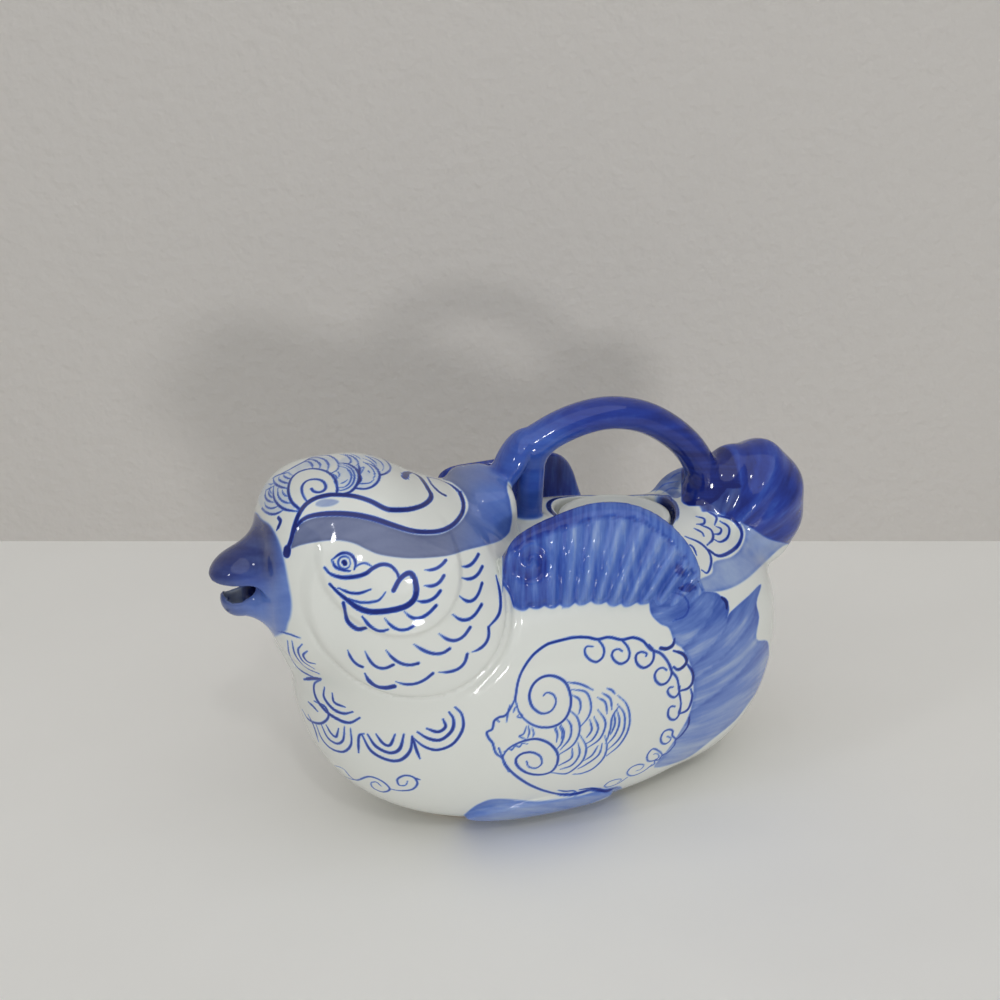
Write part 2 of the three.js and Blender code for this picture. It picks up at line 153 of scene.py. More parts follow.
def egg(form, x, y, z):
    """About the distance to an egg-shaped surface, negative inside."""
    turn = math.radians(form.get("pitch", 0))
    dx, dz = x - form["at"][0], z - form["at"][2]
    spot = (math.cos(turn) * dx - math.sin(turn) * dz, y - form["at"][1],
            math.sin(turn) * dx + math.cos(turn) * dz)
    high = np.where(spot[2] > 0, form.get("top", form["radii"][2]), form["radii"][2])
    radii = (form["radii"][0], form["radii"][1], high)
    power = form.get("power", 2)
    shares = [np.maximum(np.abs(part) / radius, 1e-6) for part, radius in zip(spot, radii)]
    powers = [share * share if power == 2 else share ** power for share in shares]
    total = powers[0] + powers[1] + powers[2]
    level = np.sqrt(total) if power == 2 else total ** (1.0 / power)
    slope = sum((part / share / radius) ** 2 for part, share, radius in zip(powers, shares, radii))
    return (level - 1.0) * total / (level * np.maximum(np.sqrt(slope), 1e-9))


def taper(form, x, y, z):
    """The distance to a rod that tapers between two round ends."""
    start = np.array(form["from"], float)
    along = np.array(form["to"], float) - start
    reach = (x - start[0], y - start[1], z - start[2])
    share = sum(r * a for r, a in zip(reach, along)) / (along @ along)
    share = np.clip(share, 0, 1)
    gap = sum((r - share * a) ** 2 for r, a in zip(reach, along))
    return np.sqrt(gap) - (form["radii"][0] + (form["radii"][1] - form["radii"][0]) * share)


def photo_spot(x, y, z, mirrored=True):
    """Pixel of each point in the photograph, with its depth. Where mirrored, the right uses the left's."""
    dx, dy, dz = x - EYE[0], np.where(mirrored, -np.abs(y), y) - EYE[1], z - EYE[2]
    depth = dx * AIM[0] + dy * AIM[1] + dz * AIM[2]
    across = dx * RIGHT[0] + dy * RIGHT[1]
    rise = dx * UP[0] + dy * UP[1] + dz * UP[2]
    return MIDDLE + FOCAL * across / depth, MIDDLE - FOCAL * rise / depth, depth


# Forms as fields of distance, in millimetres. The right side is the left's mirror, apart from the far
# sail and the shoulder at the tail's far side
def trunk_field(x, y, z):
    side = np.abs(y)
    barrel = soft_join(egg(TRUNK, x, side, z), egg(RUMP, x, side, z), JOIN["rump"])
    breast = soft_join(barrel, egg(CHEST, x, side, z), JOIN["chest"])
    return soft_join(breast, egg(THROAT, x, side, z), JOIN["throat"])


def ring_step(ring, x, z):
    """The swell inside a ring on the side of the head."""
    reach = np.hypot((x - ring["x"]) / ring["rx"], (z - ring["z"]) / ring["rz"])
    return ring["step"] * fade_in(1 + RING_SPREAD, 1 - RING_SPREAD, reach)


def head_field(x, y, z):
    side = np.abs(y)
    skull = soft_join(egg(CROWN, x, side, z), egg(HOOD, x, side, z), JOIN["hood"])
    skull = soft_join(skull, egg(NAPE, x, side, z), JOIN["nape"])
    whole = soft_join(skull, egg(CHEEK, x, side, z), JOIN["cheek"])
    rings = ring_step(EYE_RING, x, z) + ring_step(CHEEK_RING, x, z)
    return whole - rings * fade_in(10, 22, side) * (1 - fade_in(88, 99, z))


def neck_fold(x, y, z):
    """The crease round the cheeks, and the fold behind it where the neck meets the body."""
    across, up = x - CHEEK_RING["x"], z - CHEEK_RING["z"]
    reach = np.hypot(across / CHEEK_RING["rx"], up / CHEEK_RING["rz"])
    turn = np.degrees(np.arctan2(up, across))
    depth = 0
    for groove in (CREASE, FOLD):
        cut = groove["depth"] * np.exp(-((reach - groove["reach"]) / groove["spread"]) ** 2)
        for start, full in groove["ends"]:
            cut = cut * fade_in(start, full, turn)
        depth = depth + cut
    return depth * fade_in(14, 24, np.abs(y))


def height_over(hinge, tip, x, z):
    """How far a point is above the line from a hinge to a tip, seen from the side."""
    along = np.array(tip, float) - hinge
    along /= np.hypot(*along)
    return (x - hinge[0]) * along[1] - (z - hinge[1]) * along[0]


def bill_field(x, y, z):
    beak = soft_join(egg(UPPER_BILL, x, y, z), taper(BILL_ROOT, x, y, z), JOIN["bill_root"])
    upper = soft_meet(beak, -height_over(GAPE_HINGE, GAPE_BILL_TIP, x, z), EDGE["gape"])
    rim = height_over(GAPE_HINGE, GAPE_LIP_TIP, x, z) + LIP_SAG * y * y * fade_in(-64, -70, x)
    lower = soft_meet(taper(SPOUT, x, y, z), rim, EDGE["gape"])
    return soft_join(upper, lower, JOIN["lips"])


def bore_field(x, y, z):
    bore = SPOUT_BORE
    reach = np.hypot(y / (bore["width"] / 2), (z - bore["z"]) / (bore["height"] / 2))
    side = (reach - 1) * bore["height"] / 2
    tube = np.maximum(side, np.maximum(bore["front"] - x, x - bore["back"]))
    return soft_join(tube, egg(LIP_SCOOP, x, y, z), JOIN["scoop"])


def fan_angle(x, z):
    """Degrees up from the rear, round the middle of the tail's fan."""
    return np.degrees(np.arctan2(z - FAN_RIBS["z"], x - FAN_RIBS["x"]))


def fan_rib(x, z):
    """How far up a rib of the tail's fan a point is, seen from the side. The rear ribs are flatter."""
    angle = fan_angle(x, z)
    turn = (angle - FAN_RIBS["first"]) / (FAN_RIBS["last"] - FAN_RIBS["first"])
    height = 0.3 + 0.7 * fade_in(FAN_RIBS["flat"], FAN_RIBS["full"], angle)
    return height * (0.5 + 0.5 * np.cos(2 * math.pi * FAN_RIBS["count"] * turn))


def tail_field(x, y, z):
    fan = egg(TAIL, x, y, z) - FAN_RIBS["depth"] * fan_rib(x, z)
    off = (fan_angle(x, z) - FAN_SWELL["angle"]) / FAN_SWELL["spread"]
    fan -= FAN_SWELL["step"] * np.exp(-off ** 2)
    root = soft_join(fan, egg(RUMP, x, y, z), JOIN["fan"])
    return soft_join(root, egg(FAR_SHOULDER, x, y, z), JOIN["shoulder"])


def curve_points(points, steps):
    """Points on a smooth curve through the given points, steps to each stretch."""
    points = np.array(points, float)
    ends = np.vstack((2 * points[0] - points[1], points, 2 * points[-1] - points[-2]))
    share = np.linspace(0, 1, steps, endpoint=False)[:, None]
    line = []
    for a, b, c, d in zip(ends, ends[1:], ends[2:], ends[3:]):
        line.append(b + 0.5 * share * (c - a + share * (2 * a - 5 * b + 4 * c - d
                                                          + share * (3 * b - a - 3 * c + d))))
    return np.vstack(line + [points[-1:]])


def beside(a, b, x, y):
    """The distance of each point from a straight piece of line, and the share of it passed there."""
    dx, dy = b - a
    share = ((x - a[0]) * dx + (y - a[1]) * dy) / max(dx * dx + dy * dy, 1e-9)
    share = share.clip(0, 1)
    return np.hypot(x - a[0] - share * dx, y - a[1] - share * dy), share


HANDLE_LINE = curve_points(HANDLE_PATH, 5)


def handle_spot(x, z):
    """Distance from the handle's middle line seen from the side, and how far along it."""
    best = np.full(x.shape, 1e9)
    share = np.zeros(x.shape)
    count = len(HANDLE_LINE) - 1
    for i, (a, b) in enumerate(zip(HANDLE_LINE, HANDLE_LINE[1:])):
        gap, passed = beside(a, b, x, z)
        nearer = gap < best
        best = np.where(nearer, gap, best)
        share = np.where(nearer, (i + passed) / count, share)
    return best, share


def handle_field(x, y, z):
    gap, share = handle_spot(x, z)
    swell = 1 + HANDLE_SWELL * fade_in(0.8, 1, share)
    level = np.hypot(gap / (HANDLE_THICK / 2), y / (HANDLE_WIDE / 2)) / swell
    strap = (level - 1) * HANDLE_THICK / 2 * swell
    stem = soft_join(strap, taper(HANDLE_LEG, x, y, z), JOIN["leg"])
    return soft_join(stem, egg(HANDLE_KNOT, x, y, z), JOIN["knot"])


def web_foot_field(x, y, z, trunk):
    return soft_meet(trunk - WEB_FOOT["proud"], egg(WEB_FOOT, x, -np.abs(y), z), EDGE["web"])


# The sails: a wall that leans in over the back, known by its faces at each x and z. The far one's rear
# half is squeezed towards its middle, because it doesn't show behind the handle
SAIL_MIDDLE = 17
SAIL_FRONT_HALF = 27.5
SAIL_REAR_HALF = 29
FAR_SQUEEZE = 1.4
SAIL_GRID = 0.5
SAIL_X = np.arange(-15, 58, SAIL_GRID)
SAIL_Z = np.arange(62, 99, SAIL_GRID)


def trunk_half_width(x, z):
    """Half the trunk's width at each x and z, found by halving."""
    inside, outside = np.zeros(x.shape), np.full(x.shape, 60.0)
    for _ in range(30):
        middle = (inside + outside) / 2
        within = trunk_field(x, middle, z) < 0
        inside, outside = np.where(within, middle, inside), np.where(within, outside, middle)
    return inside


def sail_rim(x):
    """Half width and height of the sail's rim: steep at its front end, low and long at its rear."""
    ahead = np.minimum(np.maximum(SAIL_MIDDLE - x, 0) / SAIL_FRONT_HALF, 1)
    behind = np.minimum(np.maximum(x - SAIL_MIDDLE, 0) / SAIL_REAR_HALF, 1)
    rise = (1 - ahead ** 13) ** 0.54 * (1 - 0.28 * ahead ** 1.2) * (1 - behind ** 2.6) ** 0.6
    spread = np.where(x < 20, 9 * ((20 - x) / 31) ** 2, 12.5 * ((x - 20) / 28.5) ** 2)
    base = 80 - 7 * fade_in(0, 40, x)
    front, rear = SAIL_MIDDLE - SAIL_FRONT_HALF, SAIL_MIDDLE + SAIL_REAR_HALF
    past = np.maximum(np.maximum(x - rear, front - x), 0)
    return 21.5 + spread, base + (SAIL["rim_top"] - base) * rise - 4 * past


def bow(a, b, c, share):
    """A curve from a to c that is drawn towards b."""
    return (1 - share) ** 2 * a + 2 * share * (1 - share) * b + share ** 2 * c


def sail_faces():
    """Outer and inner face of the left sail's wall, as its half width at each SAIL_X and SAIL_Z."""
    rim_y, rim_z = sail_rim(SAIL_X)
    foot_z = SAIL["foot"] - 2.4 * fade_in(5, 30, SAIL_X) + 4 * (1 - fade_in(SAIL["front"], -4, SAIL_X))
    foot_y = trunk_half_width(SAIL_X, foot_z) + SAIL["proud"] / 2
    rim_z = np.maximum(rim_z, foot_z + 0.6)
    mid_z = np.minimum((foot_z + rim_z) / 2 + 2, foot_z + 0.8 * (rim_z - foot_z))
    mid_y = np.maximum((foot_y + rim_y) / 2, foot_y - 2) + SAIL["proud"]
    half = SAIL["rim_thick"] / 2
    share = np.linspace(0, 1, 40)
    outer, inner = [], []
    for fy, fz, my, mz, ry, rz in zip(foot_y, foot_z, mid_y, mid_z, rim_y, rim_z):
        outer.append(np.interp(SAIL_Z, bow(fz, mz, rz, share), bow(fy, my, ry + half, share)))
        inner.append(np.interp(SAIL_Z, bow(fz + 2, mz, rz - 0.4, share),
                               bow(fy - 9, my - 7, ry - half, share)))
    return np.array(outer), np.array(inner)


def looked_up(table, x, z):
    """Values of a SAIL_X by SAIL_Z table between its rows and columns."""
    i = np.clip((x - SAIL_X[0]) / SAIL_GRID, 0, len(SAIL_X) - 1.001)
    k = np.clip((z - SAIL_Z[0]) / SAIL_GRID, 0, len(SAIL_Z) - 1.001)
    low_i, low_k = i.astype(int), k.astype(int)
    a, b = i - low_i, k - low_k
    return ((1 - a) * (1 - b) * table[low_i, low_k] + a * (1 - b) * table[low_i + 1, low_k]
            + (1 - a) * b * table[low_i, low_k + 1] + a * b * table[low_i + 1, low_k + 1])


SAIL_OUTER, SAIL_INNER = sail_faces()
SAIL_SLANT = 1 / np.sqrt(1 + sum(slope ** 2 for slope in np.gradient(SAIL_OUTER, SAIL_GRID)))

# Flutes, front end, curl and rim band of the sail, by pixels of the photograph. The flutes lean more
# towards the rear
FLUTE_FOOT_V = 597.0
FLUTE_FIRST_U = 552.0
FLUTE_STEP = 16.0
FLUTE_LEAN = 0.37
FLUTE_RISE = 60.0
SAIL_FRONT_U = 502.5
CURL_SPOT = (531.0, 561.0)
CURL_WAVE = 3.4
SAIL_BORDER = ((505, 556), (523, 544), (545, 534), (565, 527), (584, 521), (601, 517), (618, 516.5),
               (632, 518), (644, 522.5), (653.5, 528), (665, 536), (675, 545), (686, 559), (694, 574),
               (702, 590))


def flute_place(u, v):
    """Which flute of the sail a pixel is on, counted from the first, and how high up it."""
    rise = (FLUTE_FOOT_V - v) / FLUTE_RISE
    lean = FLUTE_LEAN * rise
    foot_u = (u + lean * FLUTE_FIRST_U) / (1 + lean)
    return (foot_u - FLUTE_FIRST_U) / FLUTE_STEP, rise


def border_line(u):
    """Pixel row of the lower edge of the plain band along the sail's rim."""
    return np.interp(u, *zip(*SAIL_BORDER))


def below_border(u, v):
    return fade_in(-3, 5, v - border_line(u))


def curl_wave(u, v):
    """The spiral at the sail's front: pixels from its middle, and its wave from -1 to 1."""
    du, dv = u - CURL_SPOT[0], v - CURL_SPOT[1]
    reach = np.hypot(du, dv * 0.9)
    return reach, np.cos(reach / CURL_WAVE - np.arctan2(dv, du))


def sail_relief(u, v):
    """How far the flutes, the curl and the rim's band stand out, in mm."""
    flute, _ = flute_place(u, v)
    below = below_border(u, v)
    ridges = 0.75 * np.cos(2 * math.pi * flute) * fade_in(546, 558, u)
    reach, wave = curl_wave(u, v)
    curl = 0.7 * wave * fade_in(25, 15, reach)
    return below * (ridges + curl) + 0.35 * (1 - below)


def sail_field(x, y, z, u, v, depth):
    """The sails' wall, cut off at its rim, its scalloped foot and its front end."""
    side = np.abs(y)
    squeezed = SAIL_MIDDLE + (x - SAIL_MIDDLE) * FAR_SQUEEZE
    x = np.where((y > 0) & (x > SAIL_MIDDLE), squeezed, x)
    slant = looked_up(SAIL_SLANT, x, z)
    outer = (side - looked_up(SAIL_OUTER, x, z)) * slant - sail_relief(u, v)
    inner = (looked_up(SAIL_INNER, x, z) - side) * slant
    wall = soft_meet(outer, inner, EDGE["sail_wall"])
    step = SAIL_GRID / 2
    _, rim_z = sail_rim(x)
    _, next_z = sail_rim(x + step)
    rim = (z - rim_z) / np.hypot(1, np.minimum(np.abs(next_z - rim_z) / step, 6))
    flute, _ = flute_place(u, v)
    foot_v = FLUTE_FOOT_V + 2.5 + 3 * np.abs(np.cos(math.pi * flute)) + 1.6 * np.sin(1.7 * flute)
    foot_v += 5 * fade_in(575, 530, u)
    foot = (v - foot_v) * depth / FOCAL
    end = SAIL["front"] - 0.2 - x
    wall = soft_meet(wall, rim, EDGE["sail_rim"])
    return soft_meet(soft_meet(wall, foot, EDGE["sail_foot"]), end, EDGE["sail_end"])


# The whole pot
NEAR = 5.0
PART_BOXES = {
    "head": ((-76, -45, 25), (8, 45, 118)),
    "bill": ((-86, -18, 60), (-42, 18, 96)),
    "tail": ((40, -32, 4), (100, 32, 102)),
    "handle": ((-4, -12, 70), (76, 12, 120)),
    "sail": ((-15, -44, 66), (50, 44, 98)),
    "foot": ((-26, -45, 0), (30, 45, 22)),
}


def near_part(name, x, y, z, field):
    """A part's field where its box is near, and a safe distance elsewhere."""
    low, high = PART_BOXES[name]
    gap = np.maximum.reduce([low[0] - x, x - high[0], low[1] - y, y - high[1], low[2] - z, z - high[2]])
    value = np.maximum(gap, 0) + NEAR
    close = gap < 0
    if close.any():
        value[close] = field(close)
    return value


def pot_parts(x, y, z):
    """The distance to each form of the pot at every point."""
    parts = {"trunk": trunk_field(x, y, z)}
    for name, form in (("head", head_field), ("bill", bill_field), ("tail", tail_field),
                       ("handle", handle_field), ("foot", web_foot_field), ("sail", sail_field)):
        def field(m):
            near = x[m], y[m], z[m]
            if form is sail_field:
                return form(*near, *photo_spot(*near))
            if form is web_foot_field:
                return form(*near, parts["trunk"][m])
            return form(*near)
        parts[name] = near_part(name, x, y, z, field)
    neck = fade_in(-2, -12, x) * fade_in(-60, -48, x)
    parts["root"] = JOIN["seam"] + JOIN["root"] * fade_in(50, 60, x) * fade_in(100, 92, z)
    parts["neck"] = JOIN["seam"] + JOIN["neck"] * neck * fade_in(86, 76, z) * fade_in(34, 46, z)
    parts["fold"] = neck_fold(x, y, z)
    return parts


def mouth_gap(oval, x, y):
    """About the distance outside the lid's mouth, or its throat, seen from above."""
    reach = np.hypot((x - LID["x"]) / (oval["length"] / 2 + MOUTH_CLEARANCE),
                     y / (oval["width"] / 2 + MOUTH_CLEARANCE))
    return (reach - 1) * oval["width"] / 2


def hollow_field(x, y, z, parts):
    """The inside of the pot, with the pouring way and the mouth for the lid."""
    body = np.maximum(parts["trunk"] + WALL, np.maximum(CAVITY_FLOOR - z, z - CAVITY_ROOF))
    hollow = soft_join(body, parts["head"] + WALL, JOIN["cavity"])
    hollow = soft_join(hollow, bore_field(x, y, z), JOIN["bore"])
    recess = np.maximum(mouth_gap(LID, x, y), LID["seat"] - z)
    throat = np.maximum(mouth_gap(LID_FLANGE, x, y), LID["seat"] - LID_FLANGE["depth"] - z)
    mouth = np.maximum(np.minimum(recess, throat), z - MOUTH_TOP)
    return np.minimum(hollow, mouth)


def outer_field(parts, z):
    """The pot's outside, each form run into its neighbours as the glaze does."""
    skin = soft_join(parts["trunk"], parts["head"], parts["neck"]) + parts["fold"]
    skin = soft_join(skin, parts["tail"], JOIN["tail_foot"] + JOIN["tail"] * fade_in(6, 20, z))
    for name in ("bill", "foot", "sail"):
        skin = soft_join(skin, parts[name], JOIN[name])
    skin = soft_join(skin, parts["handle"], parts["root"])
    return soft_meet(skin, BASE_Z - z, EDGE["base"])


def pot_field(x, y, z):
    parts = pot_parts(x, y, z)
    return soft_meet(outer_field(parts, z) + SKIN_INSET, -hollow_field(x, y, z, parts), EDGE["mouth"])


# A closed surface where a field is zero
def surface_net(field, low, high, cell):
    """Vertices and four-sided faces of the zero surface."""
    block = 4
    counts = [int(math.ceil((b - a) / cell / block)) * block for a, b in zip(low, high)]
    spans = [start + cell * np.arange(count + 1) for start, count in zip(low, counts)]
    middles = [span[:-1].reshape(-1, block).mean(1) + cell / 2 for span in spans]
    coarse = field(*[axis.ravel() for axis in np.meshgrid(*middles, indexing="ij")])
    coarse = coarse.reshape([len(m) for m in middles])
    values = coarse
    keep = np.abs(coarse) < block * cell + 1
    for axis in range(3):
        values = np.repeat(values, block, axis)
        values = np.concatenate((values, np.take(values, [-1], axis)), axis)
        keep = np.repeat(keep, block, axis)
        before = np.concatenate((keep, np.take(keep, [-1], axis)), axis)
        after = np.concatenate((np.take(keep, [0], axis), keep), axis)
        keep = before | after
    spots = np.nonzero(keep)
    values[spots] = field(*[span[index] for span, index in zip(spans, spots)])

    inside = values < 0
    corners = [(i, j, k) for i in (0, 1) for j in (0, 1) for k in (0, 1)]

    def corner(grid, i, j, k):
        return grid[i:grid.shape[0] - 1 + i, j:grid.shape[1] - 1 + j, k:grid.shape[2] - 1 + k]
    count = sum(corner(inside, *c).astype(np.int8) for c in corners)
    cells = np.argwhere((count > 0) & (count < 8))
    number = np.full(count.shape, -1, np.int64)
    number[tuple(cells.T)] = np.arange(len(cells))
    spots = np.zeros((len(cells), 3))
    hits = np.zeros(len(cells))
    for a in corners:
        for axis in range(3):
            if a[axis]:
                continue
            b = tuple(v + (i == axis) for i, v in enumerate(a))
            va = values[tuple((cells + a).T)]
            vb = values[tuple((cells + b).T)]
            crossed = (va < 0) != (vb < 0)
            share = np.where(crossed, va / np.where(crossed, va - vb, 1), 0)
            spots += crossed[:, None] * (np.array(a) + share[:, None] * (np.array(b) - np.array(a)))
            hits += crossed
    spots = low + cell * (cells + spots / hits[:, None])

    quads = []
    for axis in range(3):
        first = [slice(None)] * 3
        second = [slice(None)] * 3
        first[axis], second[axis] = slice(None, -1), slice(1, None)
        change = inside[tuple(first)] != inside[tuple(second)]
        edges = np.argwhere(change)
        j, k = [other for other in range(3) if other != axis]
        edges = edges[(edges[:, j] > 0) & (edges[:, k] > 0)]
        ring = []
        for dj, dk in ((1, 1), (0, 1), (0, 0), (1, 0)):
            at = edges.copy()
            at[:, j] -= dj
            at[:, k] -= dk
            ring.append(number[tuple(at.T)])
        ring = np.stack(ring, 1)
        flip = inside[tuple(edges.T)] == (axis == 1)
        ring[flip] = ring[flip][:, ::-1]
        quads.append(ring)
    return spots, np.vstack(quads)


def slope_of(field, spots, step=0.12):
    """The field and its gradient at each spot, from four samples around it."""
    arms = step * np.array(((1, -1, -1), (-1, -1, 1), (-1, 1, -1), (1, 1, 1)))
    level, slope = 0, 0
    for arm in arms:
        value = field(*(spots + arm).T)
        level = level + value / 4
        slope = slope + value[:, None] * arm / (4 * step * step)
    return level, slope


def settle(field, spots, rounds):
    """Moves each spot on to the zero surface along the gradient."""
    for _ in range(rounds):
        level, slope = slope_of(field, spots)
        steep = np.maximum((slope ** 2).sum(1), 0.1)
        step = level / steep
        spots = spots - np.clip(step, -0.6, 0.6)[:, None] * slope
    return spots


def even_out(spots, quads, amount=0.5):
    """Moves each spot towards the middle of its neighbours."""
    total = np.zeros_like(spots)
    count = np.zeros(len(spots))
    for a, b in ((0, 1), (1, 2), (2, 3), (3, 0)):
        for start, end in ((quads[:, a], quads[:, b]), (quads[:, b], quads[:, a])):
            for axis in range(3):
                total[:, axis] += np.bincount(start, spots[end, axis], len(spots))
            count += np.bincount(start, minlength=len(spots))
    return spots + amount * (total / count[:, None] - spots)


# Brush lines, by pixels of the photograph. A row is the spots of a line and its width, then its ink and
# its width at the start and the end as shares of the whole, where they aren't the usual ones. A dab is
# its start, the bottom of its curve, its end, and its width where that isn't the usual one.
CROWN_LINES = (
    (((298.8, 508.6), (292.1, 502.4), (288.7, 494.7), (288.3, 487.1), (291.1, 478.5), (297.8, 472.3),
     (305.5, 469.4), (313.1, 468.4), (320.8, 469.4), (327.5, 471.8), (332.3, 475.6), (336.1, 481.4),
     (337.2, 488), (336.6, 494)), 2.4, 0.85, 1, 0.7),
    (((311.2, 488.5), (314.1, 491.4), (318.9, 492.1), (323.7, 490.4), (325.8, 486.6), (324.1, 482.3),
     (319.8, 479.6), (313.1, 479), (306.4, 480.9), (302.4, 485.2), (301.7, 490), (303.1, 495.7),
     (306.4, 500.5), (309.5, 503.2)), 2.3, 0.72, 1.3, 0.5),
    (((272.5, 478), (278.7, 474.7), (288.3, 469.9), (295.9, 465.6), (303.6, 461.7), (311.2, 457.4),
     (320.8, 455.5), (327.5, 455), (333.2, 457.4), (337.5, 461.7), (338.5, 466.5), (336.6, 470.1),
     (331.3, 472.9)), 1.9, 0.8),
    (((308.4, 459.5), (315.1, 457.4), (321.7, 458.1), (326.5, 461), (328.6, 465.3),
     (327.1, 471)), 1.9, 0.75),
    (((307.9, 460), (313.1, 459.5), (317.9, 461.9), (320.3, 464.8), (319.4, 468.6)), 1.8, 0.72),
    (((304.1, 461.8), (308.5, 461.5), (311.7, 463.8), (312.8, 468.2)), 1.8, 0.72),
    (((287.8, 472.3), (292.3, 475.4)), 1.5, 0.6),
    (((273.9, 476.8), (273.4, 480.4), (275.8, 484.2), (281.6, 487.1), (287.8, 488.2)), 2.0, 0.8),
    (((278.7, 477), (278.9, 479.4), (282.5, 481.8), (288.9, 483.3)), 1.8, 0.72),
    (((283.5, 473.9), (283.7, 475.8), (287.3, 478), (291.1, 478.5)), 1.7, 0.7),
    (((273.9, 476.6), (279.7, 474.3), (288.3, 472.3)), 1.7, 0.7),
    (((273.7, 485.7), (273, 492.8), (274.4, 499.5), (278.7, 505.3), (284.4, 509.1), (291.1, 510.5),
     (297.5, 511.2)), 2.1, 0.82),
    (((277.7, 488), (277.7, 494.7), (280.6, 499.5), (285.4, 502.4), (290.7, 503)), 1.7, 0.68),
    (((282, 489.2), (282.7, 492.8), (285.2, 495.5), (288, 496.2)), 1.5, 0.6),
    (((268, 483.5), (270.6, 484.1), (273.6, 483.5)), 1.5, 0.6),
    (((265.3, 490), (269.1, 488.5), (273, 486.3)), 1.6, 0.65),
    (((265.6, 490.9), (264.9, 495.7), (267.2, 500), (273, 502.4)), 1.9, 0.8),
    (((268.2, 491.1), (268.8, 494.3), (271.2, 496.9), (273.5, 497.2)), 1.8, 0.75),
    (((270.6, 485.9), (269.4, 489.5), (270.7, 492.6), (273, 493.6)), 1.5, 0.6),
    (((264.3, 502.6), (265.8, 506.2), (270.1, 508.2), (274.9, 507.4), (277.9, 505.7)), 1.7, 0.7),
    (((261.7, 508.1), (264.3, 511), (269.1, 513.6), (273.9, 514.1), (278.7, 512.5),
     (282.7, 510.1)), 2.0, 0.8, 1.2, 0.5),
    (((338, 462.9), (345.7, 463.2), (353.3, 466.5), (358.1, 471.8), (359.1, 478.5), (356.4, 485.2),
     (351.4, 490.9), (344.7, 493.5), (339, 493.5)), 2.2, 0.85, 0.6, 0.9),
    (((339, 464.3), (346.6, 465.6), (352.6, 469.9), (354.5, 476.6), (352.8, 483.3), (347.6, 488),
     (340.9, 490.2), (337.8, 489.6)), 1.5, 0.62),
    (((339.2, 466), (345.7, 467.6), (350.4, 472.3), (351.4, 477.5), (349, 483.3), (344.2, 486.9),
     (339, 487.3)), 1.5, 0.6),
    (((336.6, 471), (339.5, 473.7), (338, 478)), 1.3, 0.55),
    (((340.4, 483.5), (344.2, 482), (347.6, 479.4)), 1.4, 0.55),
    (((331.5, 472.9), (334.7, 474.8), (336.3, 478), (334.7, 480.2), (336.9, 485.7),
     (338.5, 490)), 1.6, 0.65),
    (((340.4, 454.1), (346.6, 455.5), (350.6, 459.3), (350, 462.7), (344.2, 463.8)), 1.7, 0.7),
    (((343.8, 453.6), (351.4, 455.7), (356.4, 459.3), (358.3, 463.2), (355.7, 465.8)), 1.7, 0.7),
    (((350.4, 453.4), (356.2, 455.7), (361, 459.3)), 1.3, 0.55),
    (((363.8, 462.2), (370.5, 464.1), (376.3, 468), (379.7, 473.7), (378.8, 479.4), (375.3, 484.2),
     (369.6, 487.6), (362.9, 488.7), (355.7, 488)), 2.0, 0.8, 0.6, 0.9),
    (((363.1, 461.5), (369.1, 465.3), (373.2, 469.7), (374.8, 474.7), (373.4, 478.5)), 1.4, 0.6),
    (((359.1, 469.1), (364, 466.6), (361.2, 472.6), (359.1, 474.8)), 1.3, 0.6),
    (((357.3, 483.5), (363.8, 483.3), (369.6, 482.7), (373.6, 479.6)), 1.4, 0.6),
    (((368.2, 470.1), (369.2, 472.4)), 1.6, 0.7),
    (((358.1, 463.2), (359.5, 468.9), (359.1, 473.7), (360.5, 479.4), (357.6, 484.7)), 2.4, 0.85),
    (((368.1, 454.4), (377.2, 455.8), (385.1, 459.8), (389.9, 465.1), (390.2, 468.9), (386.8, 472.7),
     (380.9, 474.8)), 2.0, 0.8, 0.6, 1),
    (((367.9, 456), (375.5, 458.4), (381.3, 462.2), (383.6, 466.5), (382.5, 470.4)), 1.6, 0.68),
    (((364.3, 454.9), (370.7, 458.4), (375.5, 462.2), (376.5, 465.6)), 1.6, 0.65),
    (((362.4, 457.9), (368.6, 460.3), (373.4, 463.7), (378.7, 469.4)), 1.4, 0.6),
)
PLUME_LINES = (
    (((278, 517.5), (280.3, 521), (278.5, 526), (276.5, 530)), 4.0, 0.95, 0.8, 0.4),
    (((286.5, 551), (290.8, 539.5), (293.9, 527.1), (298.5, 514.6), (305, 505), (314.5, 498.5),
     (326.9, 495), (338.1, 494.5), (354.3, 496), (370.4, 500.9), (385.3, 508.4), (395.3, 509.8),
     (410.6, 508.9), (424.4, 504.3), (431.3, 496.6), (427.5, 487.5), (419.8, 476.7), (411, 472),
     (407, 473.2)), 5.0, 1.0, 0.9, 0.9),
    (((286.3, 553.5), (287, 550)), 9.0, 1.1, 1, 1),
    (((290, 541), (296, 527), (304.5, 518.4), (316.9, 514.6), (335.6, 513.4), (354.3, 514.6),
     (372.9, 518.4), (391.6, 524.6), (410.6, 530.3), (425.9, 531.8), (441.2, 530.3), (453.5, 524.2),
     (461.9, 513.5), (463.4, 502.8), (459.6, 492)), 5.4, 1.0, 0.6, 0.6),
    (((459.6, 492), (450.4, 484.4), (438.2, 479), (427.5, 476.7)), 2.6, 1.0, 1.0, 0.8),
    (((427.5, 476.7), (432, 484.4), (439.7, 492), (445, 495)), 3.0, 1.05, 0.6, 1.3),
)
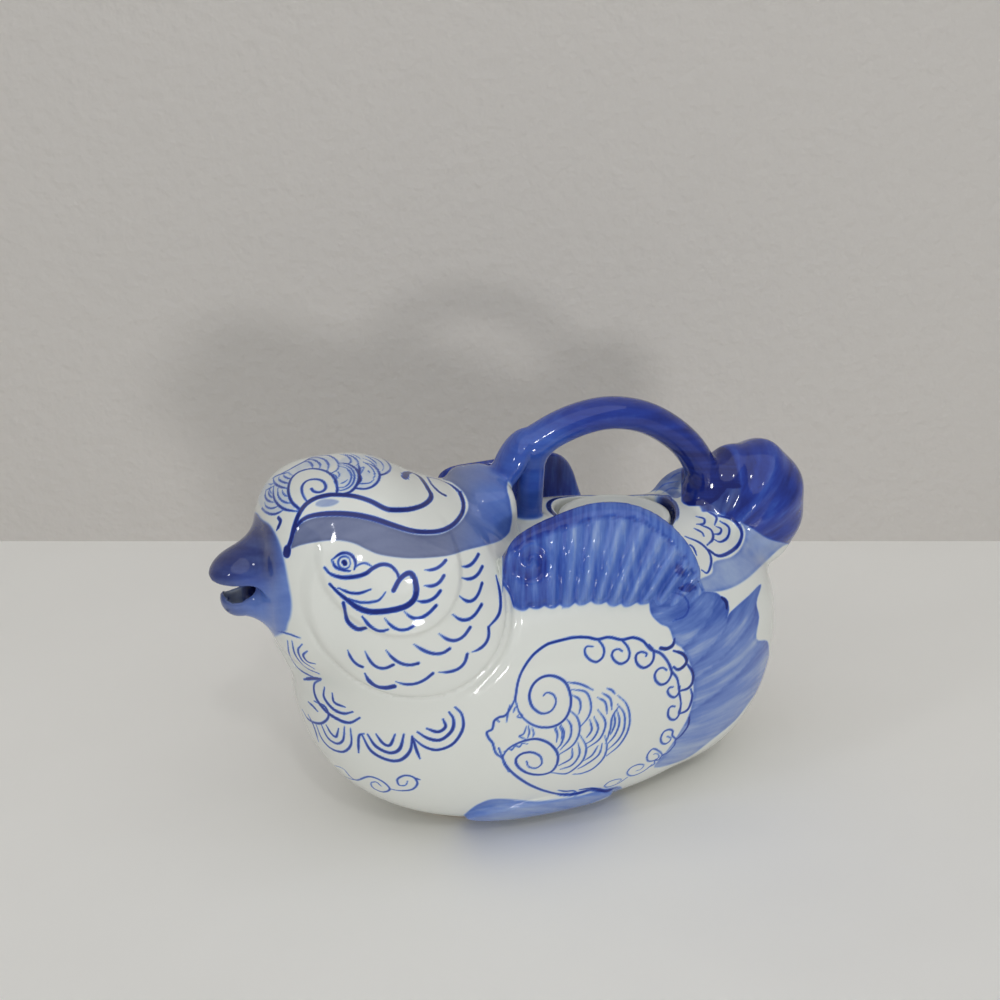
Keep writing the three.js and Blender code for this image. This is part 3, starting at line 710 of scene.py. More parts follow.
EYE_LINES = (
    (((331.9, 559.6), (341.8, 553.2), (350.5, 554.4), (355.5, 561.9), (354.3, 569.4)), 2.6, 0.9, 0.4),
    (((331.9, 560.2), (335.6, 566.9), (343, 570), (350, 571)), 2.6, 0.8),
    (((344, 562), (345, 563.4)), 4.4, 1.15, 1, 1),
    (((324.4, 567.5), (330.6, 574), (341.8, 577.4), (354.3, 576.8), (365.4, 573.7), (372.9, 568.1),
     (381.6, 564.4), (390.3, 565.6), (396.5, 571.8), (399, 578)), 3.8, 0.85, 0.5, 0.6),
    (((354.3, 568.1), (359.2, 564.4), (365.4, 563.1), (371.7, 566.3)), 1.8, 0.7),
    (((393.6, 590.3), (400, 578.9), (408.7, 572.9), (413.8, 577.2), (416.4, 589.3), (413.8, 599.6),
     (405.2, 606.5), (391.5, 610.2), (377.7, 611.8), (367.4, 611.2), (357, 607.3), (346.7, 599.6),
     (338.1, 592.7), (329.5, 584)), 5.4, 0.92, 0.8, 0.4),
    (((338.1, 588), (350.2, 592.9), (360.5, 592.9), (370.8, 589.3)), 2.4),
    (((343.3, 597), (360.5, 602.4), (376, 601.3), (382, 597), (385.4, 592.2)), 2.2, 0.75),
    (((343.3, 603), (345.5, 614), (348.5, 622.5), (357, 629), (365.6, 628)), 4.2, 0.88, 0.8, 0.8),
    (((362.2, 616.8), (370.8, 627.1), (379.4, 631.4), (388, 629.7)), 3.4, 0.75),
)
EYE_DABS = (
    ((384.6, 618.5), (400, 630), (416.4, 623.7), 2.6),
    ((404.4, 611.6), (419, 618.2), (436.2, 605.6)),
)
CHEEK_DABS = (
    ((425.2, 569.8), (436.6, 568.2), (445.8, 560.2)),
    ((424.4, 585.4), (436, 584.6), (444, 575.5)),
    ((416, 600.7), (430, 600.3), (440.5, 590.8)),
    ((461.9, 566.3), (471, 564.4), (478.7, 554)),
    ((461.9, 577.8), (474, 577.4), (482.6, 566.3)),
    ((459.6, 596.1), (473, 600.3), (482.3, 583.1)),
    ((452.7, 614.5), (468, 619.6), (481.8, 604.5)),
    ((438.9, 633.6), (456, 640.4), (470.3, 627.5)),
    ((413.7, 644.3), (434, 653.8), (449.6, 648.9)),
    ((386.1, 650.5), (401, 663.5), (418.3, 663.5)),
    ((364.8, 651.2), (377, 667.2), (393.2, 665)),
    ((347.6, 650.4), (353.6, 661.5), (362.2, 667)),
    ((472, 652.3), (486, 643), (488.7, 627.5)),
    ((438.9, 672.4), (459, 668.5), (467.3, 654.3)),
    ((395.8, 681.9), (415, 683.9), (432.8, 673.6)),
    ((364.8, 673.6), (376, 686.5), (394, 686.5), 5.0),
)
CHEEK_LINES = (
    (((496.3, 575.5), (500.2, 593.1), (500.5, 608.4), (497.1, 617.6), (488.7, 627)), 3.2, 0.85, 0.5),
)
BREAST_LINES = (
    (((277.9, 631.4), (288.2, 634), (300.2, 638.3)), 2.0, 0.7),
    (((287.3, 640.9), (289.9, 656.4), (300.2, 670.2), (320, 680.5)), 2.2),
    (((291.8, 641), (295.1, 655), (305.4, 667.4), (319.2, 674)), 2.2),
    (((302, 644.3), (297.9, 650.5), (302.4, 661), (314, 669)), 2.2),
    (((307.1, 651.2), (303, 655.5), (307.4, 661.8), (315, 664)), 2.4),
    (((303.7, 679.6), (311, 678.6), (320.9, 678.8)), 3.6, 0.9),
    (((320.9, 679.5), (314, 684.5), (315.7, 697.7), (326, 711.5), (339.8, 720.4), (350.2, 722.7),
     (359.6, 718)), 3.4),
    (((324.3, 687.4), (324, 697.7), (332.9, 709), (343.3, 713.6), (352.7, 712)), 3.0),
    (((332.1, 693.4), (334.2, 702.5), (345, 707.2)), 2.6),
    (((302, 709.7), (308.8, 720), (320.6, 723.5), (328.2, 717), (325, 707), (314, 701.1)), 2.4),
    (((308, 702), (312.5, 706), (317.5, 711.5)), 2.2),
    (((308, 714.9), (313.5, 726), (318.3, 741.6)), 2.4),
    (((315.7, 724.2), (321.8, 739), (331.2, 748.8), (343.3, 751.9), (351, 744.2), (350.4, 728.7)), 2.4),
    (((320.9, 724.2), (327.4, 737.6), (336.4, 743.7), (343, 740), (344.3, 727)), 2.4),
    (((326, 725.2), (331, 733.6), (336, 736.8), (338.4, 728.7)), 2.4),
    (((363.9, 733.8), (358.8, 736.5), (358.4, 752.8)), 2.6),
    (((362.2, 735.6), (371, 751), (386.3, 759.7), (400, 760.3), (410, 751), (412.1, 736.6)), 3.4),
    (((367.5, 734.6), (376, 746.6), (389.7, 753), (399.6, 749), (403.8, 734.6)), 3.4),
    (((376, 734.4), (382.9, 743.4), (389.9, 745.3), (395, 734.6)), 2.8),
    (((412.1, 736.2), (415.6, 747.6), (419.9, 758.8)), 2.8),
    (((412.1, 737.3), (424.2, 746.7), (437.9, 750), (453.4, 743.6), (462.9, 728.7), (462, 714.9),
     (455.1, 707.2)), 2.8),
    (((417.3, 732.1), (429.3, 739), (441.4, 739.7), (452, 730.4), (453.4, 719.4), (449.1, 712.3)), 3.2),
    (((426.7, 728.7), (437.9, 732), (445.5, 727), (443.1, 719.4)), 3.0),
    (((334.7, 765.7), (343.3, 769.1), (350.2, 776.9), (357, 780.3), (367.4, 776.9), (376, 778.4),
     (384.6, 783.2), (389.7, 789.4), (382.9, 792.2), (373.5, 788.4), (371, 783.4), (376, 782.2),
     (381, 786.2)), 2.0, 0.75),
    (((389.7, 789), (400, 790.9), (412.1, 789.6), (417.3, 783.8), (413.8, 777.7), (405.2, 775.6),
     (397.5, 779.3), (399, 785.2), (405.4, 785.4), (407.6, 781.2)), 2.0, 0.8),
    (((413.8, 777.9), (420, 780)), 2.0),
    (((343.3, 776), (350, 779), (357, 780.6)), 1.8, 0.7),
)
SHIELD_LINES = (
    (((515.2, 699.6), (518, 682.4), (523, 669.5), (533.1, 655.1), (546, 645.1), (556, 641.6),
     (573.3, 637.6), (587.6, 637.4), (597.7, 639.3), (609, 637.2), (622, 639.8), (633, 637.6), (643, 641),
     (650.8, 649.4), (661, 653.6), (668, 662), (671.6, 670.9), (677.4, 679), (679.4, 692.4), (681, 704),
     (678.7, 713)), 2.5, 0.85, 0.8, 0.7),
    (((616.3, 788), (603.4, 791.4), (590, 790), (573.3, 794.2), (555, 793.6), (535.4, 787.6),
     (519.5, 778.6), (507.7, 767.7), (502, 756.5), (498.8, 748)), 2.6, 0.8),
    (((598.6, 640.2), (603, 646.1), (604.2, 652), (602.2, 658), (596.6, 661.9), (590.3, 660), (585.8, 655),
     (584.8, 650.1), (587.2, 646.5), (593.1, 646.7)), 2.1, 0.8, 0.9, 0.5),
    (((622.7, 640.8), (627.3, 646.1), (629.7, 653), (627.9, 660), (621.4, 663.9), (615.4, 661.3),
     (612.1, 656), (613.5, 651.1), (618.4, 649.1), (622.3, 651.3)), 2.2, 0.82, 0.9, 0.6),
    (((649, 645.1), (653.2, 650.1), (654, 657), (651, 663.9), (644.1, 667.9), (638.2, 664.9), (635.8, 659),
     (637.2, 654), (642.1, 651.9), (646.9, 653.8), (646.1, 656.2)), 2.4, 0.85, 0.9, 0.6),
    (((669.8, 664.9), (671.8, 670.4), (670.8, 676.8), (666.8, 682.7), (660.9, 684.7), (656, 680.7),
     (655, 674.8), (657.9, 669.8), (662.9, 667.9), (666.8, 670.2)), 2.4, 0.85, 0.9, 0.6),
    (((679.7, 686.6), (679.3, 691), (677.7, 695), (674.1, 697.5), (669.8, 695.5), (667.8, 691.6),
     (669.4, 688), (673.4, 687)), 2.2, 0.8, 0.9, 0.6),
    (((680.7, 707.4), (679.3, 714.3), (675.7, 719.3), (671, 719.5), (668.2, 715.3), (668.8, 709.4),
     (671.8, 706.4), (675.1, 706.8)), 2.3, 0.82, 0.9, 0.6),
    (((676.1, 739.2), (672.6, 735.7), (672.8, 731.1), (668.8, 729.7), (663.9, 732.1), (660.9, 738.1),
     (661.9, 743), (665.8, 744), (669.8, 741.2), (670.8, 738.1), (667.4, 736.5)), 2.0, 0.75, 0.9, 0.6),
    (((662.9, 755.8), (660.3, 752.3), (654, 748.9), (649.6, 751.9), (647.1, 756.8), (648.1, 761),
     (653, 761), (658.9, 757.4), (657.5, 753.9), (654, 754.3)), 1.8, 0.72, 0.9, 0.5),
    (((652, 764.7), (646.1, 769.7), (638.2, 774.2), (630.7, 776), (627.3, 773.2), (630.7, 768.1),
     (638.2, 764.7), (643.7, 765.3), (641.1, 769.3), (636.6, 770.9)), 1.7, 0.7, 0.9, 0.5),
    (((627.3, 777.6), (618.4, 783.5), (608.5, 787.1), (604.6, 786.3), (608.9, 782.3), (616.4, 779.6),
     (621.6, 779.6), (617.4, 783.1)), 1.6, 0.66, 0.9, 0.5),
    (((648.1, 767.7), (654, 764.7), (655, 760.8), (658.9, 759.8), (662.9, 754.9), (667.8, 752.9),
     (674.7, 745), (675.7, 740.4), (682.6, 734.5), (687.6, 726.2), (688.6, 717.3)), 1.9, 0.72, 0.7, 0.7),
    (((579.8, 789.8), (590.7, 788.5), (598.6, 789.5), (606.5, 791), (616.4, 787.5)), 3.2, 0.85, 0.5, 0.6),
    (((558.1, 790.4), (565, 791.4), (572.9, 791), (576.9, 792.4)), 2.2, 0.7),
    (((515.6, 698.1), (511.6, 706.4), (505.7, 715.3), (499.4, 717.3), (494.2, 721.2), (492.3, 729.2),
     (486.9, 732.5), (488.9, 738.4), (492.7, 743.2), (495.8, 752.9), (502.1, 758.2)), 2.2, 0.75, 0.7, 0.7),
    (((510.1, 704.8), (508.1, 712.3), (506.5, 722.6)), 1.7, 0.65),
    (((516.8, 706.4), (514.8, 708.4), (513.6, 712.7)), 1.5, 0.6),
    (((518.8, 710.8), (522.7, 717.1), (517.6, 717.1), (519.5, 713.9)), 1.5, 0.6),
    (((526.7, 725.8), (523.9, 733.7), (519.5, 736.5), (526.7, 739.6)), 1.6, 0.65),
    (((493.8, 721.2), (496.6, 719.9), (499.4, 722.2)), 1.6, 0.65),
    (((503.7, 751.9), (509.7, 748.9), (511.6, 750.3), (515.6, 746), (519.5, 747.1), (522.5, 743.6),
     (527.4, 744)), 1.5, 0.62),
    (((528.4, 726.2), (529.4, 732.1), (527.8, 738.1)), 1.6, 0.65),
    (((531.8, 727.4), (533.8, 733.1), (532.6, 738.1)), 1.5, 0.6),
    (((556.1, 727.2), (557.5, 734.1), (556.7, 742)), 1.6, 0.65),
    (((515.2, 699.6), (520.2, 714), (530.2, 723.6), (543.1, 727.6), (557.5, 725), (567.5, 715.4),
     (571.1, 699.6), (566.1, 683.4), (554.6, 676.3), (543.1, 676.9), (533.6, 684.2), (529.5, 695.3),
     (532.4, 706.8), (541.7, 713.6), (551.2, 711), (556, 702.5), (553.9, 695.3), (547.4, 692.6),
     (543.6, 695.6)), 2.4, 0.8),
    (((509, 772), (504, 764), (503, 757), (509, 748.4), (521.6, 741.9), (536, 739.1), (548.9, 743.4),
     (557.2, 752.7), (557.5, 762.8), (551.7, 771.6), (540.3, 774.9), (527.4, 773.2), (518.4, 767.1),
     (515.9, 759.9), (521.6, 754.1), (531.7, 752.5), (540.3, 756.6), (541.7, 763.8), (536, 768.3),
     (529, 766.9), (526.6, 761.3)), 2.4, 0.8),
)
SHIELD_SCALES = (
    ((571.8, 689.6), (586.2, 692.4), (591.2, 705.4), (588.6, 716.8), (580.4, 726.9)),
    ((571.8, 694.9), (579, 699.2), (580.8, 706.8), (578.6, 714.6)),
    ((567.5, 682.4), (580.4, 684.2), (593.4, 690.2)),
    ((569, 709.7), (577.6, 718.3), (579.7, 731.2), (573.3, 744.9), (557.5, 755.8)),
    ((565.5, 717.3), (571.2, 726.1), (569.8, 738.4), (560.4, 750)),
    ((560.8, 724.5), (564.1, 733.2), (561.4, 743.7), (557, 749)),
    ((597.7, 709.7), (604.8, 719.7), (604.8, 728.9), (599.1, 739.8), (586.9, 748.4)),
    ((594, 716.8), (598.3, 728.3), (593, 739.2), (586, 744)),
    ((589.9, 719.7), (591.8, 729.8), (586.6, 737.9)),
    ((580.4, 735.5), (586.2, 747), (583.3, 759.9), (573.3, 769.9), (564.7, 774), (551.7, 772.8)),
    ((578, 742.7), (579.6, 754.1), (572.3, 765), (560.4, 769.5)),
    ((572.3, 748.4), (571.3, 758.4), (558.5, 765.9)),
    ((604.8, 735.5), (607, 747), (603.4, 758.4), (593.4, 768.5), (581.9, 773.5), (573.3, 774.4)),
    ((602.4, 743.6), (598.6, 755.1), (586.2, 764.6), (578, 769)),
    ((598, 746), (592.4, 755.1), (584.6, 760.6)),
    ((597.7, 697.6), (605.4, 702.5), (607.3, 714)),
    ((602, 692.9), (610.2, 698.6), (612.1, 709.7)),
    ((607, 688.4), (612, 690.4), (615.4, 694.3)),
    ((617.7, 695.3), (626.4, 703.9), (629.9, 716.8), (627.8, 731.2), (619.2, 745.5), (606.3, 756.3)),
    ((617.7, 704.4), (624.3, 714), (624.3, 728.3), (618.2, 740.2), (607, 750.6)),
    ((617, 709.6), (619.6, 722), (615.3, 734.7), (607.7, 744)),
    ((614.4, 713.4), (615, 724), (610.8, 734.7)),
    ((619.2, 705.8), (612.4, 717.3), (610.3, 729.8), (605.8, 743.6)),
)
LEAF_LINES = (
    (((660.8, 648.2), (667, 648.7), (673, 645.1), (674.6, 639)), 3.4, 1.0, 1.0, 0.5),
    (((673.7, 650.8), (683.3, 654.2), (686.8, 660.9), (683.6, 666.6), (678, 669.7),
     (673.7, 667)), 3.4, 1.0),
    (((686.4, 663.2), (692.8, 672.4), (692.6, 682.4), (688.1, 688.4), (680.2, 691)), 3.2, 0.9),
    (((690.9, 689.2), (692.4, 697.2), (688.1, 709.4), (679.5, 714)), 3.0, 0.85),
    (((689.8, 714.8), (688.3, 725.4), (681.2, 735.5), (675.6, 740)), 2.8, 0.8),
)
RUMP_LINES = (
    (((718.2, 515.5), (733.5, 520), (741.8, 531.8), (738.6, 544.5), (728.3, 553), (718.2, 555.7),
     (709, 550)), 3.6, 0.85, 0.5, 0.8),
    (((720, 521), (729, 527.6), (727.6, 537.3), (720.4, 541.8), (714.5, 539.4)), 2.4),
    (((716.4, 526.4), (721.4, 529), (719.6, 533.6), (714.5, 534)), 2.2),
    (((700, 524.5), (711, 529.6), (713, 538.6), (707.3, 545)), 2.6),
    (((694.5, 528.2), (701.8, 532.2), (704, 536)), 2.2),
    (((685.5, 536.4), (700, 542.7), (709, 551.8), (711.4, 562), (707.6, 572.7), (701.8, 570)), 2.6),
    (((686.4, 543), (693, 547), (696.6, 555)), 2.2),
    (((707.3, 511), (716.4, 516.8), (714.7, 525)), 2.2),
    (((696.4, 516.4), (704, 518.6), (703.8, 523.6), (697, 524)), 2.2),
    (((672, 592), (684, 596), (689, 606), (685, 616), (673, 621)), 3.0, 0.5),
    (((722, 597.5), (726.5, 602), (727, 608.5)), 4.4, 1.05, 0.6, 0.5),
)
RUMP_DABS = (
    ((629.4, 496.4), (636, 495.5), (641.3, 500.5)),
    ((641.3, 495), (650.4, 496.5), (647.8, 501)),
    ((657.6, 497.2), (667, 495.1), (671.7, 500)),
    ((612, 497), (618, 496), (623, 499)),
)
SHIELD_HATCHING = (((554, 727), (557.4, 735), (556.6, 742)), ((559, 725), (562.4, 733), (561, 740)))
ROOT_HATCHING = (((654.5, 492), (665, 484), (679, 481)), ((662, 493), (671, 488), (681, 489)),
                 ((668, 480), (676, 474), (686, 470)))
IRIS = {"at": (344.4, 562.6), "radius": 6.3, "spots": 9}
# The crown is seen at a slant, so its lines are laid on thicker and darker
CROWN_WEIGHT = 1.18
CROWN_INK = 0.08


def stroke(points, width, ink=0.85, start=0.5, end=0.5):
    """A brush line, smoothed."""
    return curve_points(points, 6), width, ink, start, end


def comma(start, dip, end, width=3.0):
    """A short curved dab that ends in a darker point."""
    knee = [2 * dip[i] - (start[i] + end[i]) / 2 for i in (0, 1)]
    curve = [[bow(start[i], knee[i], end[i], share) for i in (0, 1)] for share in np.linspace(0, 1, 6)]
    return stroke(curve, width, 0.8, 0.3, 1.0)


def brush_lines():
    """Every brush line: on the crown, over and round the eye, on cheek, breast, wing and rump."""
    lines = []
    for line, width, ink, start, end in [stroke(*row) for row in CROWN_LINES]:
        lines.append((line, CROWN_WEIGHT * width, ink + CROWN_INK, start, end))
    turns = np.radians(360 * np.linspace(0, 1, IRIS["spots"]))
    iris = [(IRIS["at"][0] + IRIS["radius"] * math.cos(turn), IRIS["at"][1] + IRIS["radius"] * math.sin(turn))
            for turn in turns]
    lines.append(stroke(iris, 1.8, 0.7))
    for rows in (PLUME_LINES, EYE_LINES, CHEEK_LINES, BREAST_LINES, SHIELD_LINES, LEAF_LINES, RUMP_LINES):
        lines += [stroke(*row) for row in rows]
    lines += [comma(*dab) for dab in (*EYE_DABS, *CHEEK_DABS)]
    lines += [comma(*dab, width=2.4) for dab in RUMP_DABS]
    for marks, width, ink in ((SHIELD_SCALES, 1.9, 0.66), (SHIELD_HATCHING, 1.6, 0.62),
                              (ROOT_HATCHING, 1.8, 0.5)):
        lines += [stroke(points, width, ink) for points in marks]
    return lines


# A sight line is followed from just before the pot, by steps a little shorter than the field allows
CAST_FROM = 190.0
CAST_ROUNDS = 45
CAST_SHARE = 0.75
CAST_BACK = -2
CAST_STRIDE = 12
CAST_NEAR = 0.1


def cast(pixels):
    """Where sight lines through pixels of the photograph first meet the pot's outside."""
    offset = (pixels - MIDDLE) / FOCAL
    rays = AIM + offset[:, :1] * RIGHT - offset[:, 1:] * UP
    rays /= np.linalg.norm(rays, axis=1)[:, None]
    reach = np.full(len(rays), CAST_FROM)
    for _ in range(CAST_ROUNDS):
        spots = EYE + reach[:, None] * rays
        gap = outer_field(pot_parts(*spots.T), spots[:, 2])
        reach += CAST_SHARE * np.clip(gap, CAST_BACK, CAST_STRIDE)
    return EYE + reach[:, None] * rays, np.abs(gap) < CAST_NEAR


BEAD_STEP = 0.8
LINE_EDGE = 0.2
LINE_REACH = 1.6
FAR_OFF = 9.0
END_INK = 0.12
LINE_FINISH = {"fade": (-0.25, 0.0), "over_wash": 0.35, "streak": 0.16}


def laid_strokes():
    """Each brush line as beads on the pot: their middles, half widths and the ink in them."""
    paths = []
    for line, width, ink, start, end in brush_lines():
        lengths = np.concatenate(([0], np.cumsum(np.hypot(*np.diff(line, axis=0).T))))
        along = np.linspace(0, lengths[-1], max(3, int(lengths[-1] / BEAD_STEP)))
        beads = np.stack([np.interp(along, lengths, line[:, axis]) for axis in (0, 1)], 1)
        share = along / max(lengths[-1], 1e-6)
        swell = np.minimum(start + (1 - start) * fade_in(0, 0.3, share),
                           end + (1 - end) * fade_in(1, 0.7, share))
        thick = width * np.where(end > 1, start + (end - start) * share, swell)
        paths.append((beads, thick / 2, ink * (1 + END_INK * fade_in(0.8, 1, share))))
    spots, hit = cast(np.vstack([beads for beads, _, _ in paths]))
    depth = (spots - EYE) @ AIM
    laid, first = [], 0
    for beads, half, ink in paths:
        part = slice(first, first + len(beads))
        first += len(beads)
        good = hit[part]
        if good.any():
            laid.append((spots[part][good], (half * depth[part] / FOCAL)[good], ink[good]))
    return laid


def line_gap(left, laid):
    """Distance from each spot to the nearest brush edge, and the ink laid there."""
    gap = np.full(len(left), FAR_OFF)
    ink = np.zeros(len(left))
    order = np.argsort(left[:, 0])
    sorted_x = left[order, 0]
    for beads, half, inks in laid:
        low, high = beads.min(0) - LINE_REACH, beads.max(0) + LINE_REACH
        near = order[np.searchsorted(sorted_x, low[0]):np.searchsorted(sorted_x, high[0])]
        near = near[((left[near] > low) & (left[near] < high)).all(1)]
        if not len(near):
            continue
        away = np.linalg.norm(left[near, None, :] - beads[None], axis=2) - half
        nearest = away.argmin(1)
        away = away[np.arange(len(near)), nearest]
        gap[near] = np.minimum(gap[near], away)
        ink[near] = np.maximum(ink[near], inks[nearest] * fade_in(LINE_EDGE, -LINE_EDGE, away))
    return gap, ink


# Washes: flat areas of thin blue, by outlines on the photograph
CREST_OUTLINE = ((291, 549), (291.5, 540), (297, 527.5), (305, 521.5), (317, 517.5), (335.6, 516.4),
                 (354, 517.5), (373, 521.4), (391.6, 527.8), (410.6, 533.6), (426, 535.2), (442, 533.6),
                 (455.5, 526.5), (465, 516), (468.5, 505), (463.5, 492.5), (452, 482.5), (441, 477),
                 (436, 455), (470, 425), (530, 440), (508, 480), (510, 501), (512, 516), (510.5, 527.5),
                 (508, 534), (499, 541), (484, 545.6), (465.7, 550.2), (449, 555.4), (424.4, 557.9),
                 (403, 557.9), (380, 554.6), (366.7, 549.3), (354.3, 543.4), (339.3, 540.3),
                 (323.2, 540.9), (308, 543.4), (298, 546))
BEAK_OUTLINE = ((257, 514), (262, 520), (270, 526), (278, 540), (283, 556), (288, 581), (291.5, 605),
                (288, 623), (276, 636), (200, 650), (190, 500))
WING_OUTLINE = ((649, 599), (651, 613.6), (660, 623.6), (669, 628.2), (674.5, 642.7), (683.6, 650),
                (692.7, 671.8), (693.5, 686), (692.7, 700), (688, 717.3), (676.4, 737.3), (666, 752),
                (654.5, 767.4), (685.5, 759), (712.7, 739), (734.5, 721), (749, 702.7), (760, 686.4),
                (767.3, 666.4), (769, 653.6), (767, 641), (756.4, 639), (759, 617.3), (756.4, 602.7),
                (761, 584.5), (749, 595.5), (731, 611.8), (727.6, 617), (729, 606.4), (722, 597.3),
                (712.7, 592), (689, 591.8), (668, 594))
FEATHER_EDGES = (((716, 592), (714.5, 602), (712, 615), (700, 631.8), (685.5, 646), (676, 652)),
                 ((729.5, 611), (725.5, 628.2), (712.7, 646.4), (694.5, 665), (686, 671)),
                 ((757.5, 600), (752.7, 621), (738.2, 641), (718.2, 662.7), (697, 678), (689, 683)),
                 ((768, 641), (756.4, 654), (734.5, 679), (702, 705), (689, 713)))
FEATHER_CENTRE = (650.0, 560.0)
FOOT_OUTLINE = ((464, 815), (473, 807.5), (480, 803.4), (491.5, 799.3), (508.7, 799.0), (534.5, 801.3),
                (554.6, 799.6), (580.4, 795.6), (602, 789.6), (619, 786.2), (620, 791), (600, 800),
                (580, 808), (556, 816), (530, 823), (509, 829), (494, 832),
                (478, 829), (465, 822))
TAIL_EDGE = ((680, 500), (700, 511), (712, 511.5), (731, 518), (749, 526.4), (767.3, 538), (783.6, 542.7),
             (800, 545))
RUMP_WASH = ((689, 592.4), (709, 592.3), (727.3, 589.5), (745.5, 580), (763.6, 563.7), (783, 546),
             (800, 540), (790, 520), (740, 505), (727, 512), (733.5, 516), (744.8, 529.5), (742, 546),
             (731, 557), (714, 562), (712, 573), (700, 579), (690, 584))
SAIL_PATCHES = (((675, 565), (679, 561), (682, 566), (689, 576), (684, 577), (675, 573)),
                ((677, 588), (683, 585), (688, 582), (697, 587), (694, 592), (684, 592)))
FAR_WASH = ((650, 492), (656, 483), (664, 476), (676, 466), (690, 455), (692, 470), (684, 484), (681, 497),
            (673, 498), (667, 493), (659, 490))
ROOT_LIP = ((680, 500.5), (684, 504), (689, 505.7), (704, 505.5), (711, 503.5), (718, 499), (727, 488))
# The hollow under the handle's rear root, painted dark grey-blue as painted shade
SHADED_POCKET = ((700, 505), (711, 503), (718, 498), (727, 487), (731, 478), (738, 481), (741, 495), (738, 507),
          (727, 512), (712, 511.5), (702, 508))
PLUME_END = (405.3, 475.4, 3.7)
PLUME_SHADE = ((316, 502.5), (322, 499.5), (332, 499), (339, 501.5), (333, 505.5), (323, 507), (316, 505.5))
CROWN_WASHES = (((337, 463), (345, 457), (360, 455), (375, 458), (388, 464), (388, 471), (377, 483),
                 (366, 489), (352, 490), (340, 492), (336, 484)),
                ((262, 510), (258, 498), (264, 486), (273, 477), (288, 470), (304, 461), (320, 456.5),
                 (332, 458), (337, 463), (325, 468.5), (313, 467), (301, 470), (291, 478), (288, 488),
                 (290, 498), (297, 508), (284, 510), (272, 514)))


def closed_line(outline):
    """An outline of a wash, smoothed."""
    return curve_points(list(outline) + [outline[0]], 4)[:-1]


def outline_gap(outline, u, v, reach=12):
    """Distance in pixels outside a closed outline, negative inside, no more than reach."""
    line = closed_line(outline)
    gap = np.full(u.shape, float(reach))
    low, high = line.min(0) - reach, line.max(0) + reach
    near = np.flatnonzero((u > low[0]) & (u < high[0]) & (v > low[1]) & (v < high[1]))
    if not len(near):
        return gap
    pu, pv = u[near], v[near]
    best = np.full(pu.shape, 1e9)
    inside = np.zeros(pu.shape, bool)
    for a, b in zip(line, np.roll(line, -1, 0)):
        best = np.minimum(best, beside(a, b, pu, pv)[0])
        du, dv = b - a
        if dv:
            crossing = ((a[1] <= pv) != (b[1] <= pv)) & (pu < a[0] + (pv - a[1]) / dv * du)
            inside ^= crossing
    gap[near] = np.where(inside, -best, best).clip(-reach, reach)
    return gap


def edge_gap(points, u, v):
    """Signed distance in pixels from an open line: positive on its left as it is drawn."""
    line = curve_points(points, 4)
    best = np.full(u.shape, 1e9)
    side = np.zeros(u.shape)
    for a, b in zip(line, line[1:]):
        gap, _ = beside(a, b, u, v)
        nearer = gap < best
        best = np.where(nearer, gap, best)
        du, dv = b - a
        side = np.where(nearer, np.sign((u - a[0]) * dv - (v - a[1]) * du), side)
    return best * side


PIXEL_MM = 0.27


class Paint:
    """The blue on each spot of the skin: its strength, streaks, their run, and how grey it is.

    Spots on the right side that the photograph's camera can't see are painted as the left's mirror.
    """

    def __init__(self, spots, normals):
        x, y, z = spots.T
        self.spots = spots
        self.parts = pot_parts(x, y, z)
        self.turned = (y > 0) & ((normals * (spots - EYE)).sum(1) > 0)
        flip = np.where(self.turned[:, None], (1, -1, 1), (1, 1, 1))
        self.u, self.v, self.depth = photo_spot(x, y, z, self.turned)
        self.left = normals * flip
        self.seen = spots * flip
        sight = unit(self.seen - EYE)
        self.facing = -(self.left * sight).sum(1)
        skin = outer_field(self.parts, z)
        self.outside = fade_in(1.2, 0.3, skin) * fade_in(-1.2, -0.4, skin)
        self.pigment = np.zeros(len(spots))
        self.streak = np.zeros(len(spots))
        self.tone = np.zeros(len(spots))
        self.flow = np.zeros((len(spots), 3))
        self.edge = np.full(len(spots), FAR_OFF)

    def on(self, *names, reach=1.2):
        """How surely a spot belongs to one of the named forms."""
        near = np.minimum.reduce([np.abs(self.parts[name]) for name in names])
        return fade_in(reach, reach * 0.4, near) * self.outside

    def lay(self, cover, pigment, streak=0.3, tone=0.0, flow=None, over=False):
        """Lay a wash. over replaces what is under it, and else the darker one shows."""
        deeper = np.ones(len(cover)) if over else fade_in(-0.05, 0.05, pigment - self.pigment)
        share = cover * deeper
        self.pigment += share * (pigment - self.pigment)
        self.streak += share * (streak - self.streak)
        self.tone += share * (tone - self.tone)
        if flow is not None:
            chosen = cover > 0.3
            self.flow[chosen] = np.stack(np.broadcast_arrays(*flow), 1)[chosen]

    def note_edge(self, gap_px, where):
        """Keep the distance in mm to the edge of a wash, so the mesh is finer there."""
        self.edge = np.where(where > 0.05, np.minimum(self.edge, np.abs(gap_px) * PIXEL_MM), self.edge)

    def note_border(self, where):
        """Make the mesh finer all along the border of a form that is painted over."""
        self.edge = np.where((where > 0.02) & (where < 0.98), 0.0, self.edge)

    def within(self, outline, soft):
        """How surely each spot is inside an outline, and how many pixels outside it."""
        gap = outline_gap(outline, self.u, self.v)
        return fade_in(soft, -soft, gap), gap


# Each kind of wash runs its streaks through noise of its own, this far along the third axis
NOISE_PLACE = {"crest": 1.0, "plume_end": 1.5, "shade": 2.0, "crown": 2.5, "beak": 3.0, "mouth": 3.5,
               "sail": 4.0, "wing": 5.0, "tail": 6.0, "far": 6.2, "rump": 6.5, "handle": 7.0, "foot": 8.0,
               "lid_line": 9.0, "lid_wall_shade": 9.5}
CREST_MIDDLE = (395, 640)
FEATHER_SHADE = 0.10
FEATHER_LINE = 0.03
HANDLE_REAR_X = 54


